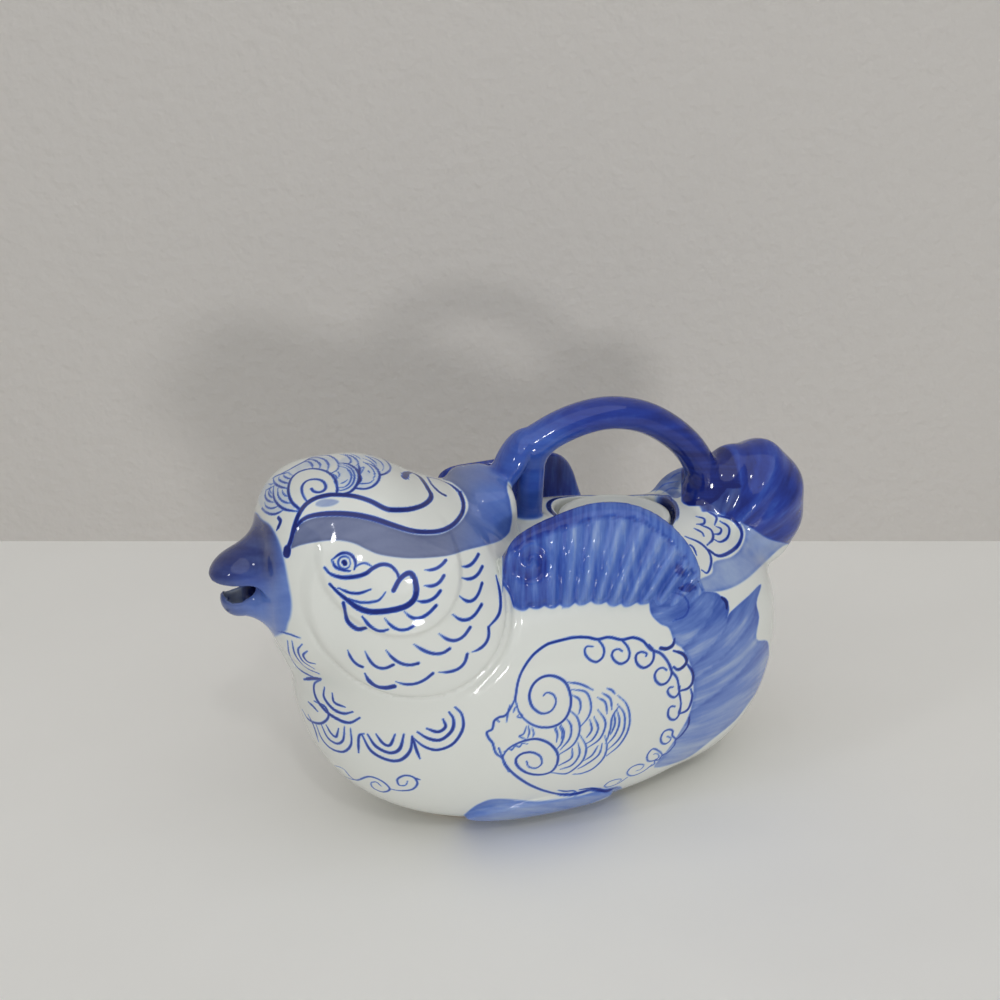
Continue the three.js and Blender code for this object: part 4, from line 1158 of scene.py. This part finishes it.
def paint_crest(paint):
    """The grey and blue band over the eye, the dot at the plume's end, and thin blue on the crown."""
    u, v = paint.u, paint.v
    inside, gap = paint.within(CREST_OUTLINE, 0.9)
    where = paint.on("head") * fade_in(-0.35, 0.1, paint.facing)
    across = np.hypot(u - CREST_MIDDLE[0], v - CREST_MIDDLE[1])
    along = np.arctan2(v - CREST_MIDDLE[1], u - CREST_MIDDLE[0]) * 110
    blue = fade_in(440, 500, u)
    ink = 0.35 + 0.04 * blue + 0.02 * np.sin(along * 0.07 + across * 0.05) + 0.06 * fade_in(-5, -1, gap)
    flow = along * 0.02, across * 0.12, NOISE_PLACE["crest"]
    paint.lay(inside * where, ink, streak=0.12, tone=0.9 - 0.8 * blue, flow=flow)
    paint.note_edge(gap, where)
    inside, gap = paint.within(PLUME_SHADE, 1)
    flow = along * 0.03, across * 0.16, NOISE_PLACE["shade"]
    paint.lay(inside * where, 0.2, streak=0.2, tone=0.4, flow=flow)
    paint.note_edge(gap, where)
    end_u, end_v, size = PLUME_END
    blob = fade_in(size + 0.7, size - 0.7, np.hypot(u - end_u, v - end_v)) * paint.on("head")
    paint.lay(blob, 0.95, streak=0.1, tone=0.1, flow=(u * 0.1, v * 0.1, NOISE_PLACE["plume_end"]))
    for outline in CROWN_WASHES:
        inside, _ = paint.within(outline, 1.5)
        flow = u * 0.12, v * 0.12, NOISE_PLACE["crown"]
        paint.lay(inside * where, 0.055, streak=0.6, tone=0.1, flow=flow)


def paint_beak(paint):
    """Both bills, darker towards the tip and on top, and painted shade deep inside the mouth."""
    x, y, z = paint.spots.T
    u, v = paint.u, paint.v
    inside, gap = paint.within(BEAK_OUTLINE, 2.2)
    where = paint.on("bill", "head", reach=2.4)
    tip = fade_in(270, 222, u)
    upper = fade_in(600, 560, v) * fade_in(288, 266, u)
    ink = 0.36 + 0.14 * tip + 0.33 * upper - 0.04 * fade_in(600, 625, v)
    tone = 0.06 + 0.6 * np.maximum(tip, upper)
    paint.lay(inside * where, ink, streak=0.2, tone=tone, flow=(x * 0.12, v * 0.08, NOISE_PLACE["beak"]))
    paint.note_edge(gap, where)
    # Painted shade: the bore is painted almost black from a little way inside the lip
    bore = fade_in(0.7, 0.2, np.abs(bore_field(x, y, z))) * fade_in(-58, -62, x)
    flow = x * 0.1, v * 0.1, NOISE_PLACE["mouth"]
    paint.lay(bore, 0.08 + 0.9 * fade_in(-72, -69.5, x), streak=0.1, tone=0.6, flow=flow, over=True)


def paint_sails(paint):
    """Blue in the sail's flutes and curl, with painted shade in their grooves, darker on the band along
    its rim and on its inner face.
    """
    u, v = paint.u, paint.v
    near = (paint.spots[:, 1] < 0) | paint.turned
    front = np.where(near, fade_in(SAIL_FRONT_U - 1, SAIL_FRONT_U + 1, u), 1)
    where = paint.on("sail", reach=1.3) * front
    flute, rise = flute_place(u, v)
    # More ink in the grooves of the flutes and in the troughs of the curl: painted shade
    valley_shade = 0.5 - 0.5 * np.cos(2 * math.pi * flute)
    fluted = 0.29 + 0.18 * valley_shade + 0.17 * fade_in(585, 535, u) - 0.04 * fade_in(0.5, 1.1, rise)
    reach, wave = curl_wave(u, v)
    fluted += 0.16 * (1 - (0.5 + 0.5 * wave)) * fade_in(26, 16, reach)
    band = 0.47 + 0.34 * fade_in(600, 545, u) - 0.12 * fade_in(640, 690, u)
    ink = band + (fluted - band) * below_border(u, v)
    ink += 0.16 * fade_in(2.6, 0, np.abs(v - border_line(u))) * fade_in(560, 600, u)
    inward = fade_in(0.1, -0.35, paint.facing)
    ink = ink + (0.62 - ink) * inward
    for outline in SAIL_PATCHES:
        ink = np.maximum(ink, 0.8 * paint.within(outline, 1)[0])
    across = flute * FLUTE_STEP * (1 + FLUTE_LEAN * rise)
    flow = rise * 1.8, across * 0.2, NOISE_PLACE["sail"]
    paint.lay(where, ink, streak=0.36, tone=0.04, flow=flow, over=True)
    paint.note_border(where)


def paint_wing(paint):
    """The blue feathers behind the shield, each darker along its edge."""
    u, v = paint.u, paint.v
    inside, gap = paint.within(WING_OUTLINE, 0.9)
    where = paint.on("trunk", reach=1.0) * fade_in(-0.3, 0.1, paint.facing)
    cover = inside * where
    du, dv = u - FEATHER_CENTRE[0], v - FEATHER_CENTRE[1]
    radius, angle = np.hypot(du, dv), np.arctan2(dv, du)
    ink = 0.27 + 0.15 * fade_in(645, 605, v) - 0.01 * fade_in(690, 740, v)
    ink = ink + 0.07 * fade_in(-4.5, -0.5, gap)
    near = np.flatnonzero((cover > 0) & (gap < 12))
    for points in FEATHER_EDGES:
        side = edge_gap(points, u[near], v[near])
        away = np.abs(side)
        shade = FEATHER_SHADE * fade_in(9, 0, away) * (1 - fade_in(0, 1.2, -side))
        ink[near] += shade + FEATHER_LINE * fade_in(1.6, 0.4, away)
    paint.lay(cover, ink, streak=0.45, tone=0.15, flow=(angle * 2.4, radius * 0.14, NOISE_PLACE["wing"]))
    paint.note_edge(gap, where)


def paint_tail(paint):
    """The thin wash on the rump, the dark ribbed fan with painted shade in its grooves, and the blue
    between it and the handle, darker in the hollow under the handle's root as painted shade.
    """
    x, y, z = paint.spots.T
    u, v = paint.u, paint.v
    root = paint.on("tail", "trunk", reach=2.0)
    side = edge_gap(TAIL_EDGE, u, v)
    upper = fade_in(-1.0, 1.0, side) * fade_in(700, 704, u) * fade_in(7, 5, paint.parts["tail"])
    upper *= paint.outside
    angle = np.radians(fan_angle(x, z))
    radius = np.hypot(x - FAN_RIBS["x"], z - FAN_RIBS["z"])
    inside, gap = paint.within(RUMP_WASH, 1)
    lower = inside * root * fade_in(-0.3, 0.1, paint.facing)
    flow = (u + v) * 0.03, (v - u) * 0.06, NOISE_PLACE["rump"]
    paint.lay(lower, 0.22 + 0.05 * fade_in(-5, -1, gap), streak=0.2, tone=0.2, flow=flow)
    paint.note_edge(gap, lower)
    flow = radius * 0.1, angle * 11, NOISE_PLACE["tail"]
    # More ink in the grooves between the fan's ribs, as painted shade, and over its flatter rear ribs
    paint.lay(upper, 0.66 + 0.16 * (1 - fan_rib(x, z)), streak=0.3, tone=0.0, flow=flow)
    paint.note_edge(side, root * fade_in(694, 700, u))
    # Painted shade in the hollow under the handle's rear root, over the blue
    inside, _ = paint.within(SHADED_POCKET, 2.5)
    paint.lay(inside * paint.outside, 0.64, streak=0.3, tone=0.45, flow=flow, over=True)
    inside, gap = paint.within(FAR_WASH, 1)
    far = root * ((y > 0) & ~paint.turned)
    flow = u * 0.05, v * 0.12, NOISE_PLACE["far"]
    paint.lay(inside * far, 0.33, streak=0.3, tone=0.45, flow=flow)
    paint.note_edge(gap, far)


def paint_handle(paint):
    """The handle's dark blue, thinner at its front end and a little darker on top as painted shade,
    down to the pale lip at its rear root.
    """
    x, y, z = paint.spots.T
    strap = paint.parts["handle"]
    where = fade_in(1.4, 0.2, strap)
    where *= fade_in(-0.3, 0.9, np.minimum(paint.parts["head"], paint.parts["trunk"] - 0.5))
    lip = np.interp(paint.u, *zip(*ROOT_LIP))
    over_lip = fade_in(lip + 1, lip - 1, paint.v)
    at_rear = fade_in(HANDLE_REAR_X, HANDLE_REAR_X + 3, x)
    where = np.where(x > HANDLE_REAR_X, where * over_lip, where)
    foot = fade_in(5.5, 4.5, strap) * at_rear * over_lip
    where = np.maximum(where, foot * fade_in(680.5, 682.5, paint.u)) * paint.outside
    _, share = handle_spot(x, z)
    around = np.arctan2(y, 1.0)
    # A little more ink on faces that look up: painted shade on the handle's top
    top = fade_in(0.2, 0.8, paint.left[:, 2])
    ink = 0.73 + 0.2 * fade_in(0.3, 0.85, share) - 0.08 * fade_in(0.16, 0.02, share) + 0.04 * top
    knot = fade_in(8, 3, np.abs(strap) + 9 * share * 4)
    ink -= 0.1 * knot
    ink += 0.2 * fade_in(lip - 6, lip - 1, paint.v) * at_rear
    flow = share * 5, around * 2 + paint.v * 0.13, NOISE_PLACE["handle"]
    paint.lay(where, ink, streak=0.18, tone=0.02, flow=flow, over=True)
    paint.note_border(where)


def paint_mouth_line(paint):
    """A dark line round the lid's mouth, thin along the far side: a painted rim line, also painted shade of
    the gap.
    """
    x, y, z = paint.spots.T
    ends = fade_in(26, 22, x)
    away = mouth_gap(LID, x, y)
    # Painted shade: the mouth's wall at the near rear is painted dark
    wall = fade_in(0.7, 0.3, np.abs(away)) * fade_in(44, 47, x) * fade_in(77, 79, z) * fade_in(7, 2, y)
    flow = x * 0.1, y * 0.1, NOISE_PLACE["lid_wall_shade"]
    paint.lay(wall, 0.9, streak=0.1, tone=0.7, flow=flow, over=True)
    # The line round the mouth is a painted blue rim line and also painted shade of the gap round the lid
    gap = np.abs(away - 0.9 - 0.6 * ends)
    where = paint.on("trunk", "tail") * fade_in(0.2, 0.6, paint.left[:, 2]) * fade_in(-12, -8, y)
    thick = 0.32 + 0.28 * ends
    cover = fade_in(thick + 0.15, thick - 0.15, gap) * where
    flow = x * 0.1, y * 0.1, NOISE_PLACE["lid_line"]
    paint.lay(cover, 0.6 + 0.3 * ends, streak=0.15, tone=0.6, flow=flow)
    paint.edge = np.where((where > 0) & (gap < 2), np.minimum(paint.edge, gap), paint.edge)


def paint_foot(paint):
    """The thin blue of the web foot."""
    u, v = paint.u, paint.v
    inside, gap = paint.within(FOOT_OUTLINE, 1)
    where = paint.on("foot", "trunk") * fade_in(-0.6, -0.1, paint.facing)
    ink = 0.26 + 0.1 * fade_in(500, 470, u) + 0.05 * fade_in(-4, -1, gap)
    paint.lay(inside * where, ink, streak=0.35, tone=0.1, flow=(u * 0.02, v * 0.13, NOISE_PLACE["foot"]))
    paint.note_edge(gap, where)


def paint_lines(paint, laid):
    """The brush lines, over all washes."""
    gap, ink = line_gap(paint.seen, laid)
    ink = ink * paint.outside * fade_in(*LINE_FINISH["fade"], paint.facing)
    line = fade_in(0.02, 0.3, ink)
    paint.pigment = np.maximum(paint.pigment, ink + LINE_FINISH["over_wash"] * paint.pigment * line)
    paint.streak += line * (LINE_FINISH["streak"] - paint.streak)
    paint.tone *= 1 - line
    paint.edge = np.minimum(paint.edge, np.abs(gap))


def painted(spots, normals, laid):
    """All the blue: washes in the order they are laid, then the lines."""
    paint = Paint(spots, normals)
    for lay in (paint_crest, paint_beak, paint_wing, paint_tail, paint_foot, paint_mouth_line,
                paint_sails, paint_handle):
        lay(paint)
    paint_lines(paint, laid)
    return paint


# The meshes
CELL = 1.0
LINE_BAND = 1.0
FINE_CUTS = 2
EVEN_ROUNDS = 2
NET_LOW = np.array((-84.0, -46.0, -1.0))
NET_HIGH = np.array((101.0, 46.0, 120.0))


def unit(vectors):
    return vectors / np.linalg.norm(vectors, axis=1)[:, None]


def refined(spots, quads, wanted):
    """The same surface with the wanted faces cut finer."""
    bm = bmesh.new()
    verts = [bm.verts.new(spot) for spot in spots]
    faces = [bm.faces.new([verts[i] for i in quad]) for quad in quads.tolist()]
    edges = {edge for face, want in zip(faces, wanted) if want for edge in face.edges}
    bmesh.ops.subdivide_edges(bm, edges=list(edges), cuts=FINE_CUTS, use_grid_fill=True,
                              use_single_edge=True)
    bmesh.ops.triangulate(bm, faces=[face for face in bm.faces if len(face.verts) > 4])
    bm.verts.index_update()
    finer = np.array([vert.co[:] for vert in bm.verts])
    cells = [[vert.index for vert in face.verts] for face in bm.faces]
    bm.free()
    return finer, cells


def placed(name, data):
    """A new object in the scene."""
    thing = bpy.data.objects.new(name, data)
    bpy.context.scene.collection.objects.link(thing)
    return thing


def shaped_mesh(name, spots, cells, normals):
    mesh = bpy.data.meshes.new(name)
    mesh.from_pydata(((spots - (DATUM_X, 0, 0)) * MM).tolist(), [], cells)
    mesh.polygons.foreach_set("use_smooth", [True] * len(mesh.polygons))
    mesh.normals_split_custom_set_from_vertices(normals.tolist())
    return placed(name, mesh)


def give(mesh, name, values):
    """Store one value, or one vector, for each vertex."""
    values = np.asarray(values, np.float32)
    kind = "FLOAT" if values.ndim == 1 else "FLOAT_VECTOR"
    layer = mesh.attributes.new(name, kind, "POINT")
    layer.data.foreach_set("value" if values.ndim == 1 else "vector", values.ravel())


def make_pot():
    """The pot's whole skin with its painting, finer along every line and edge."""
    laid = laid_strokes()
    spots, quads = surface_net(pot_field, NET_LOW, NET_HIGH, CELL)
    spots = settle(pot_field, spots, 2)
    for _ in range(EVEN_ROUNDS):
        spots = settle(pot_field, even_out(spots, quads), 1)
    _, slope = slope_of(pot_field, spots)
    paint = painted(spots, unit(slope), laid)
    wanted = (np.sort(paint.edge[quads], axis=1)[:, 0] < LINE_BAND) & (paint.outside[quads].max(1) > 0.5)
    spots, cells = refined(spots, quads, wanted)
    spots = settle(pot_field, spots, 2)
    _, slope = slope_of(pot_field, spots)
    paint = painted(spots, unit(slope), laid)
    pot = shaped_mesh("pot_skin", spots, cells, unit(slope))
    for name in ("pigment", "streak", "tone", "flow"):
        give(pot.data, name, getattr(paint, name))
    give(pot.data, "pool_and_shade", pooled_glaze_and_shade(paint.parts))
    return pot


def pooled_glaze_and_shade(parts):
    """How much glaze has gathered in the corners between the forms, also painted shade there."""
    names = "trunk", "head", "bill", "tail", "handle", "sail"
    near = np.sort(np.stack([np.abs(parts[name]) for name in names]), axis=0)
    return fade_in(3.0, 0.2, near[1]) * fade_in(3.0, 0.2, near[0])


# Materials
BLUE_RAMP = ((0.0, (0.760, 0.775, 0.730)), (0.12, (0.435, 0.543, 0.720)), (0.30, (0.134, 0.243, 0.625)),
             (0.50, (0.050, 0.121, 0.490)), (0.75, (0.019, 0.046, 0.325)), (1.0, (0.010, 0.018, 0.160)))
GREY_RAMP = ((0.0, (0.760, 0.775, 0.730)), (0.12, (0.520, 0.550, 0.590)), (0.30, (0.190, 0.215, 0.330)),
             (0.50, (0.090, 0.108, 0.200)), (0.75, (0.035, 0.043, 0.110)), (1.0, (0.012, 0.017, 0.080)))
WHITE_RAMP = ((0.3, (0.765, 0.780, 0.735)), (0.7, (0.735, 0.757, 0.715)))
CLAY_RAMP = ((0.3, (0.60, 0.50, 0.385)), (0.7, (0.50, 0.40, 0.29)))
GLAZE_ROUGHNESS = 0.06
GLAZE_IOR = 1.5
CLAY_ROUGHNESS = 0.75
STREAK_SWING = 3.2
GRAIN = {"scale": 900.0, "swing": 0.12}
CLOUD = {"scale": 90.0, "swing": 0.3}
WAVE = {"scale": 220.0, "strength": 0.10, "depth": 0.0004}
POOL_AND_SHADE_SHARE = 0.45
POOL_AND_SHADE_COLOUR = (0.60, 0.665, 0.62, 1)


class Nodes:
    """A short way to add and join shader nodes."""

    def __init__(self, material):
        material.use_nodes = True
        self.tree = material.node_tree
        self.shader = self.tree.nodes["Principled BSDF"]

    def add(self, kind, inputs=None, **settings):
        node = self.tree.nodes.new(kind)
        for name, value in settings.items():
            setattr(node, name, value)
        for name, value in (inputs or {}).items():
            if isinstance(value, bpy.types.NodeSocket):
                self.tree.links.new(value, node.inputs[name])
            else:
                node.inputs[name].default_value = value
        return node

    def link(self, start, end):
        self.tree.links.new(start, end)

    def painted(self, name):
        return self.add("ShaderNodeAttribute", attribute_name=name)

    def sum_of(self, operation, a, b, c=0.0):
        return self.add("ShaderNodeMath", {0: a, 1: b, 2: c}, operation=operation).outputs[0]

    def times(self, a, b):
        return self.sum_of("MULTIPLY", a, b)

    def around_one(self, noise, amount):
        """A noise turned into a factor near 1."""
        return self.sum_of("MULTIPLY_ADD", noise, amount, 1.0)

    def centred(self, noise):
        return self.sum_of("SUBTRACT", noise, 0.5)

    def noise(self, place, scale, detail=2.0):
        return self.add("ShaderNodeTexNoise", {"Vector": place, "Scale": scale, "Detail": detail}).outputs[0]

    def bump(self, height, strength, distance):
        node = self.add("ShaderNodeBump", {"Strength": strength, "Distance": distance, "Height": height})
        self.link(node.outputs["Normal"], self.shader.inputs["Normal"])

    def ramp(self, factor, stops):
        node = self.add("ShaderNodeValToRGB", {"Fac": factor})
        ramp = node.color_ramp
        while len(ramp.elements) < len(stops):
            ramp.elements.new(0.5)
        for element, (place, colour) in zip(ramp.elements, stops):
            element.position = place
            element.color = (*colour, 1)
        return node.outputs["Color"]

    def mix(self, factor, a, b):
        node = self.add("ShaderNodeMix", data_type="RGBA")
        for socket, value in ((node.inputs[0], factor), (node.inputs[6], a), (node.inputs[7], b)):
            if isinstance(value, bpy.types.NodeSocket):
                self.link(value, socket)
            else:
                socket.default_value = value
        return node.outputs[2]


def started(name):
    """A new material, its nodes, and the place on the object that its patterns follow."""
    material = bpy.data.materials.new(name)
    nodes = Nodes(material)
    return material, nodes, nodes.add("ShaderNodeTexCoord").outputs["Object"]


def underglaze():
    """Clear glaze over white porcelain, with the blue painted under it."""
    material, nodes, place = started("underglaze_porcelain")
    pigment = nodes.painted("pigment").outputs["Fac"]
    streaks = nodes.noise(nodes.painted("flow").outputs["Vector"], 1.0)
    grains = nodes.noise(place, GRAIN["scale"])
    clouds = nodes.noise(place, CLOUD["scale"])
    swing = nodes.times(nodes.centred(streaks), nodes.painted("streak").outputs["Fac"])
    swing = nodes.around_one(swing, STREAK_SWING)
    grain = nodes.around_one(nodes.centred(grains), GRAIN["swing"])
    cloud = nodes.around_one(nodes.centred(clouds), CLOUD["swing"])
    ink = nodes.times(nodes.times(pigment, swing), nodes.times(grain, cloud))
    tone = nodes.painted("tone").outputs["Fac"]
    blue = nodes.mix(tone, nodes.ramp(ink, BLUE_RAMP), nodes.ramp(ink, GREY_RAMP))
    # Glaze pooled in the corners and painted shade there: a grey-green tint where there is no blue
    pool_and_shade_amount = nodes.times(nodes.painted("pool_and_shade").outputs["Fac"], POOL_AND_SHADE_SHARE)
    bare = nodes.sum_of("SUBTRACT", 1.0, nodes.sum_of("MINIMUM", nodes.times(pigment, 5.0), 1.0))
    colour = nodes.mix(nodes.times(pool_and_shade_amount, bare), blue, POOL_AND_SHADE_COLOUR)
    nodes.link(colour, nodes.shader.inputs["Base Color"])
    finish_glaze(nodes, place)
    return material


def finish_glaze(nodes, place):
    """The gloss, and the slight waves that a fired glaze has."""
    nodes.shader.inputs["Roughness"].default_value = GLAZE_ROUGHNESS
    nodes.shader.inputs["IOR"].default_value = GLAZE_IOR
    nodes.bump(nodes.noise(place, WAVE["scale"], 1.0), WAVE["strength"], WAVE["depth"])


def white_glaze():
    """The lid's plain white glaze."""
    material, nodes, place = started("white_porcelain")
    nodes.link(nodes.ramp(nodes.noise(place, 60.0), WHITE_RAMP), nodes.shader.inputs["Base Color"])
    finish_glaze(nodes, place)
    return material


def bare_clay():
    """The unglazed ring that stands on the table."""
    material, nodes, place = started("bare_porcelain")
    specks = nodes.noise(place, 500.0, 4.0)
    nodes.link(nodes.ramp(specks, CLAY_RAMP), nodes.shader.inputs["Base Color"])
    nodes.shader.inputs["Roughness"].default_value = CLAY_ROUGHNESS
    nodes.bump(specks, 0.3, 0.0002)
    return material


# Lid and foot ring: oval pieces turned from outlines in mm
LATHE_TURNS = 96
LID_VENT = {"x": 9.0, "radius": 1.3, "low": -3, "high": 4}
LID_OUTLINE = ((11.8, -6.4), (12.8, -6.4), (13.2, -6.0), (13.45, -5.0), (13.5, -0.6), (13.8, 0.1),
               (15.2, 0.1), (16.0, 0.4), (16.4, 1.2), (16.4, 2.2), (16.0, 2.9), (15.2, 3.15), (14.2, 3.1),
               (13.2, 2.6), (12.2, 1.9), (11.0, 1.35), (9.4, 1.1), (7.4, 1.0), (5.9, 1.1), (5.2, 1.5),
               (4.95, 2.1), (4.7, 2.8), (4.0, 3.3), (2.8, 3.55), (1.4, 3.66), (0.0, 3.68))
LID_UNDERSIDE = ((11.8, -6.4), (11.55, -6.0), (11.45, -4.5), (11.4, -1.6), (10.8, -0.9), (7.5, -0.7),
                 (4, -0.65), (0.0, -0.65))
FOOT_RING = {"x": 8, "length": 76, "width": 40}
RING_OUTLINE = ((0, 0.5), (0.12, 0.2), (0.4, 0.02), (1.0, 0.0), (4.0, 0.0), (4.6, 0.02), (4.88, 0.2),
                (5, 0.5), (5, 1.3), (4.9, 1.55), (0.1, 1.55), (0, 1.3))


def turned(name, rows, closed):
    """A mesh from rings of points, one ring to each row."""
    bm = bmesh.new()
    rings = []
    for row in rows:
        if row.shape[0] == 1:
            rings.append([bm.verts.new(row[0])] * LATHE_TURNS)
        else:
            rings.append([bm.verts.new(spot) for spot in row])
    pairs = list(zip(rings, rings[1:])) + ([(rings[-1], rings[0])] if closed else [])
    for low, high in pairs:
        for i in range(LATHE_TURNS):
            corners = [low[i], low[(i + 1) % LATHE_TURNS], high[(i + 1) % LATHE_TURNS], high[i]]
            corners = [c for n, c in enumerate(corners) if c not in corners[:n]]
            bm.faces.new(corners)
    bmesh.ops.recalc_face_normals(bm, faces=bm.faces)
    mesh = bpy.data.meshes.new(name)
    bm.to_mesh(mesh)
    bm.free()
    mesh.polygons.foreach_set("use_smooth", [True] * len(mesh.polygons))
    return placed(name, mesh)


def oval_row(middle_x, half_length, half_width, z):
    """The points of a level oval, or its middle alone where it has no size."""
    if half_length < 1e-6:
        return np.array(((middle_x - DATUM_X, 0, z),)) * MM
    turn = np.linspace(0, 2 * math.pi, LATHE_TURNS, endpoint=False)
    return np.stack((middle_x - DATUM_X + half_length * np.cos(turn), half_width * np.sin(turn),
                     np.full(LATHE_TURNS, z)), 1) * MM


def make_lid():
    """The lid, turned as an oval, with its steam vent cut through."""
    outline = np.vstack((np.array(LID_UNDERSIDE)[::-1], np.array(LID_OUTLINE)[1:]))
    rows = []
    slim = LID["width"] / LID["length"]
    for radius, height in outline:
        oval = 1 - (1 - slim) * fade_in(5.5, 9, radius)
        rows.append(oval_row(LID["x"], radius, radius * oval, LID["seat"] + height))
    lid = turned("lid_cover", rows, False)
    rows = []
    wide = LID_VENT["radius"]
    for radius, level in ((0, "low"), (wide, "low"), (wide, "high"), (0, "high")):
        rows.append(oval_row(LID["x"] + LID_VENT["x"], radius, radius, LID["seat"] + LID_VENT[level]))
    vent = turned("vent_cutter", rows, False)
    cut = lid.modifiers.new("vent", "BOOLEAN")
    cut.object = vent
    cut.solver = "EXACT"
    graph = bpy.context.evaluated_depsgraph_get()
    pierced = bpy.data.meshes.new_from_object(lid.evaluated_get(graph))
    lid.modifiers.clear()
    lid.data = pierced
    bpy.data.objects.remove(vent, do_unlink=True)
    lid.data.set_sharp_from_angle(angle=math.radians(40))
    return lid


def make_foot_ring():
    rows = []
    half_length, half_width = FOOT_RING["length"] / 2, FOOT_RING["width"] / 2
    for inset, z in RING_OUTLINE:
        rows.append(oval_row(FOOT_RING["x"], half_length - inset, half_width - inset, z))
    return turned("foot_ring_bare", rows, True)


# The photograph's room: a pale cloth on a table against a wall, and lamps
CLOTH_COLOUR = (0.89, 0.875, 0.835, 1)
WALL_COLOUR = (0.64, 0.61, 0.575, 1)
ROOM_WIDE = 3.0
TABLE_FRONT = -1.2
TABLE_REAR = 1.2
WALL_PLACE = 0.178
WALL_LOW = -0.01
WALL_TOP = 1.6
ROOM_ROUGHNESS = 0.7
# Scale of the bumps, their strength and their depth in metres
CLOTH_BUMPS = (12.0, 0.25, 0.01)
WALL_BUMPS = (190.0, 0.6, 0.0016)
LENS = 41.4
SENSOR = 36.0


def add_sheet(name, profile, colour, bumps):
    """A sheet as wide as the room. Its profile runs away from the camera and up, in metres."""
    ahead = np.array((math.sin(TURN), math.cos(TURN)))
    across = np.array((math.cos(TURN), -math.sin(TURN)))
    verts = []
    for distance, height in profile:
        for side in (-ROOM_WIDE / 2, ROOM_WIDE / 2):
            flat = distance * ahead + side * across
            verts.append((flat[0], flat[1], height))
    mesh = bpy.data.meshes.new(name)
    mesh.from_pydata(verts, [], [(2 * i, 2 * i + 1, 2 * i + 3, 2 * i + 2) for i in range(len(profile) - 1)])
    sheet = placed(name, mesh)
    material, nodes, place = started(name)
    nodes.shader.inputs["Base Color"].default_value = colour
    nodes.shader.inputs["Roughness"].default_value = ROOM_ROUGHNESS
    scale, strength, depth = bumps
    nodes.bump(nodes.noise(place, scale), strength, depth)
    mesh.materials.append(material)
    sheet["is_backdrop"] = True
    return nodes


def clear_from_behind(nodes):
    """Lets a camera behind the sheet look through it."""
    back = nodes.add("ShaderNodeNewGeometry").outputs["Backfacing"]
    camera_ray = nodes.add("ShaderNodeLightPath").outputs["Is Camera Ray"]
    clear = nodes.add("ShaderNodeBsdfTransparent")
    blend = nodes.add("ShaderNodeMixShader", {0: nodes.sum_of("MULTIPLY", back, camera_ray)})
    nodes.link(nodes.shader.outputs[0], blend.inputs[1])
    nodes.link(clear.outputs[0], blend.inputs[2])
    nodes.link(blend.outputs[0], nodes.tree.nodes["Material Output"].inputs["Surface"])


def make_room():
    """The cloth on the table and the wall behind it."""
    add_sheet("cloth", ((TABLE_FRONT, 0.0), (TABLE_REAR, 0.0)), CLOTH_COLOUR, CLOTH_BUMPS)
    rise = (WALL_PLACE, WALL_LOW), (WALL_PLACE, WALL_TOP)
    clear_from_behind(add_sheet("wall", rise, WALL_COLOUR, WALL_BUMPS))


# Lamps: bearing, height and distance, size in metres and power in watts
LAMP_AIM = (0, 0, 0.06)
LAMPS = {"low_front": ((-5, 4, 0.9), (0.15, 0.10), 1.5),
         "overhead": ((-10, 47, 1.0), (0.08, 0.08), 0.6),
         "left_low": ((-75, 30, 1.0), (0.09, 0.09), 0.4)}
CEILING = {"at": (-0.1, -0.3, 1.4), "size": (2.4, 2.4), "power": 10.3}
AIR_COLOUR = (0.80, 0.83, 0.86, 1)
AIR_STRENGTH = 0.34


def lamp_place(bearing, height, reach):
    """Where a lamp hangs: degrees to the right of straight in front, degrees up, and metres away."""
    turn, up = math.radians(bearing), math.radians(height)
    return (reach * math.sin(turn) * math.cos(up), -reach * math.cos(turn) * math.cos(up),
            LAMP_AIM[2] + reach * math.sin(up))


def add_lamp(name, at, size, power):
    """An oval lamp that points at the teapot."""
    lamp = bpy.data.lights.new(name, "AREA")
    lamp.shape = "ELLIPSE"
    lamp.size, lamp.size_y = size
    lamp.energy = power
    thing = placed(name, lamp)
    thing.location = at
    thing.rotation_euler = (Vector(LAMP_AIM) - Vector(at)).to_track_quat("-Z", "Y").to_euler()


def add_camera():
    """The camera where the photograph was taken from."""
    camera = bpy.data.cameras.new("camera")
    camera.lens = LENS
    camera.sensor_width = SENSOR
    thing = placed("camera", camera)
    eye = (EYE - (DATUM_X, 0, 0)) * MM
    rows = [(RIGHT[i], UP[i], -AIM[i], eye[i]) for i in range(3)]
    thing.matrix_world = Matrix((*rows, (0, 0, 0, 1)))
    bpy.context.scene.camera = thing


pot_skin = make_pot()
pot_skin.data.materials.append(underglaze())
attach(pot_skin, "pot")
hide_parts("body_shell", "head_shell", "upper_bill", "spout_bill", "bail_handle", "tail_fan",
            "wing_sail_left", "wing_sail_right", "web_foot_left", "web_foot_right")

lid_cover = make_lid()
lid_cover.data.materials.append(white_glaze())
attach(lid_cover, "lid")
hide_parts("lid")

ring = make_foot_ring()
ring.data.materials.append(bare_clay())
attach(ring, "pot")
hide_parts("foot_ring")

make_room()
add_camera()
for name, (place, size, power) in LAMPS.items():
    add_lamp(name, lamp_place(*place), size, power)
add_lamp("ceiling", CEILING["at"], CEILING["size"], CEILING["power"])
world = bpy.data.worlds.new("room")
bpy.context.scene.world = world
world.use_nodes = True
world.node_tree.nodes["Background"].inputs["Color"].default_value = AIR_COLOUR
world.node_tree.nodes["Background"].inputs["Strength"].default_value = AIR_STRENGTH
bpy.context.scene.view_settings.view_transform = "Standard"

sizes = [[[float(value) for value in corner] for corner in box] for box in (cad_box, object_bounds())]
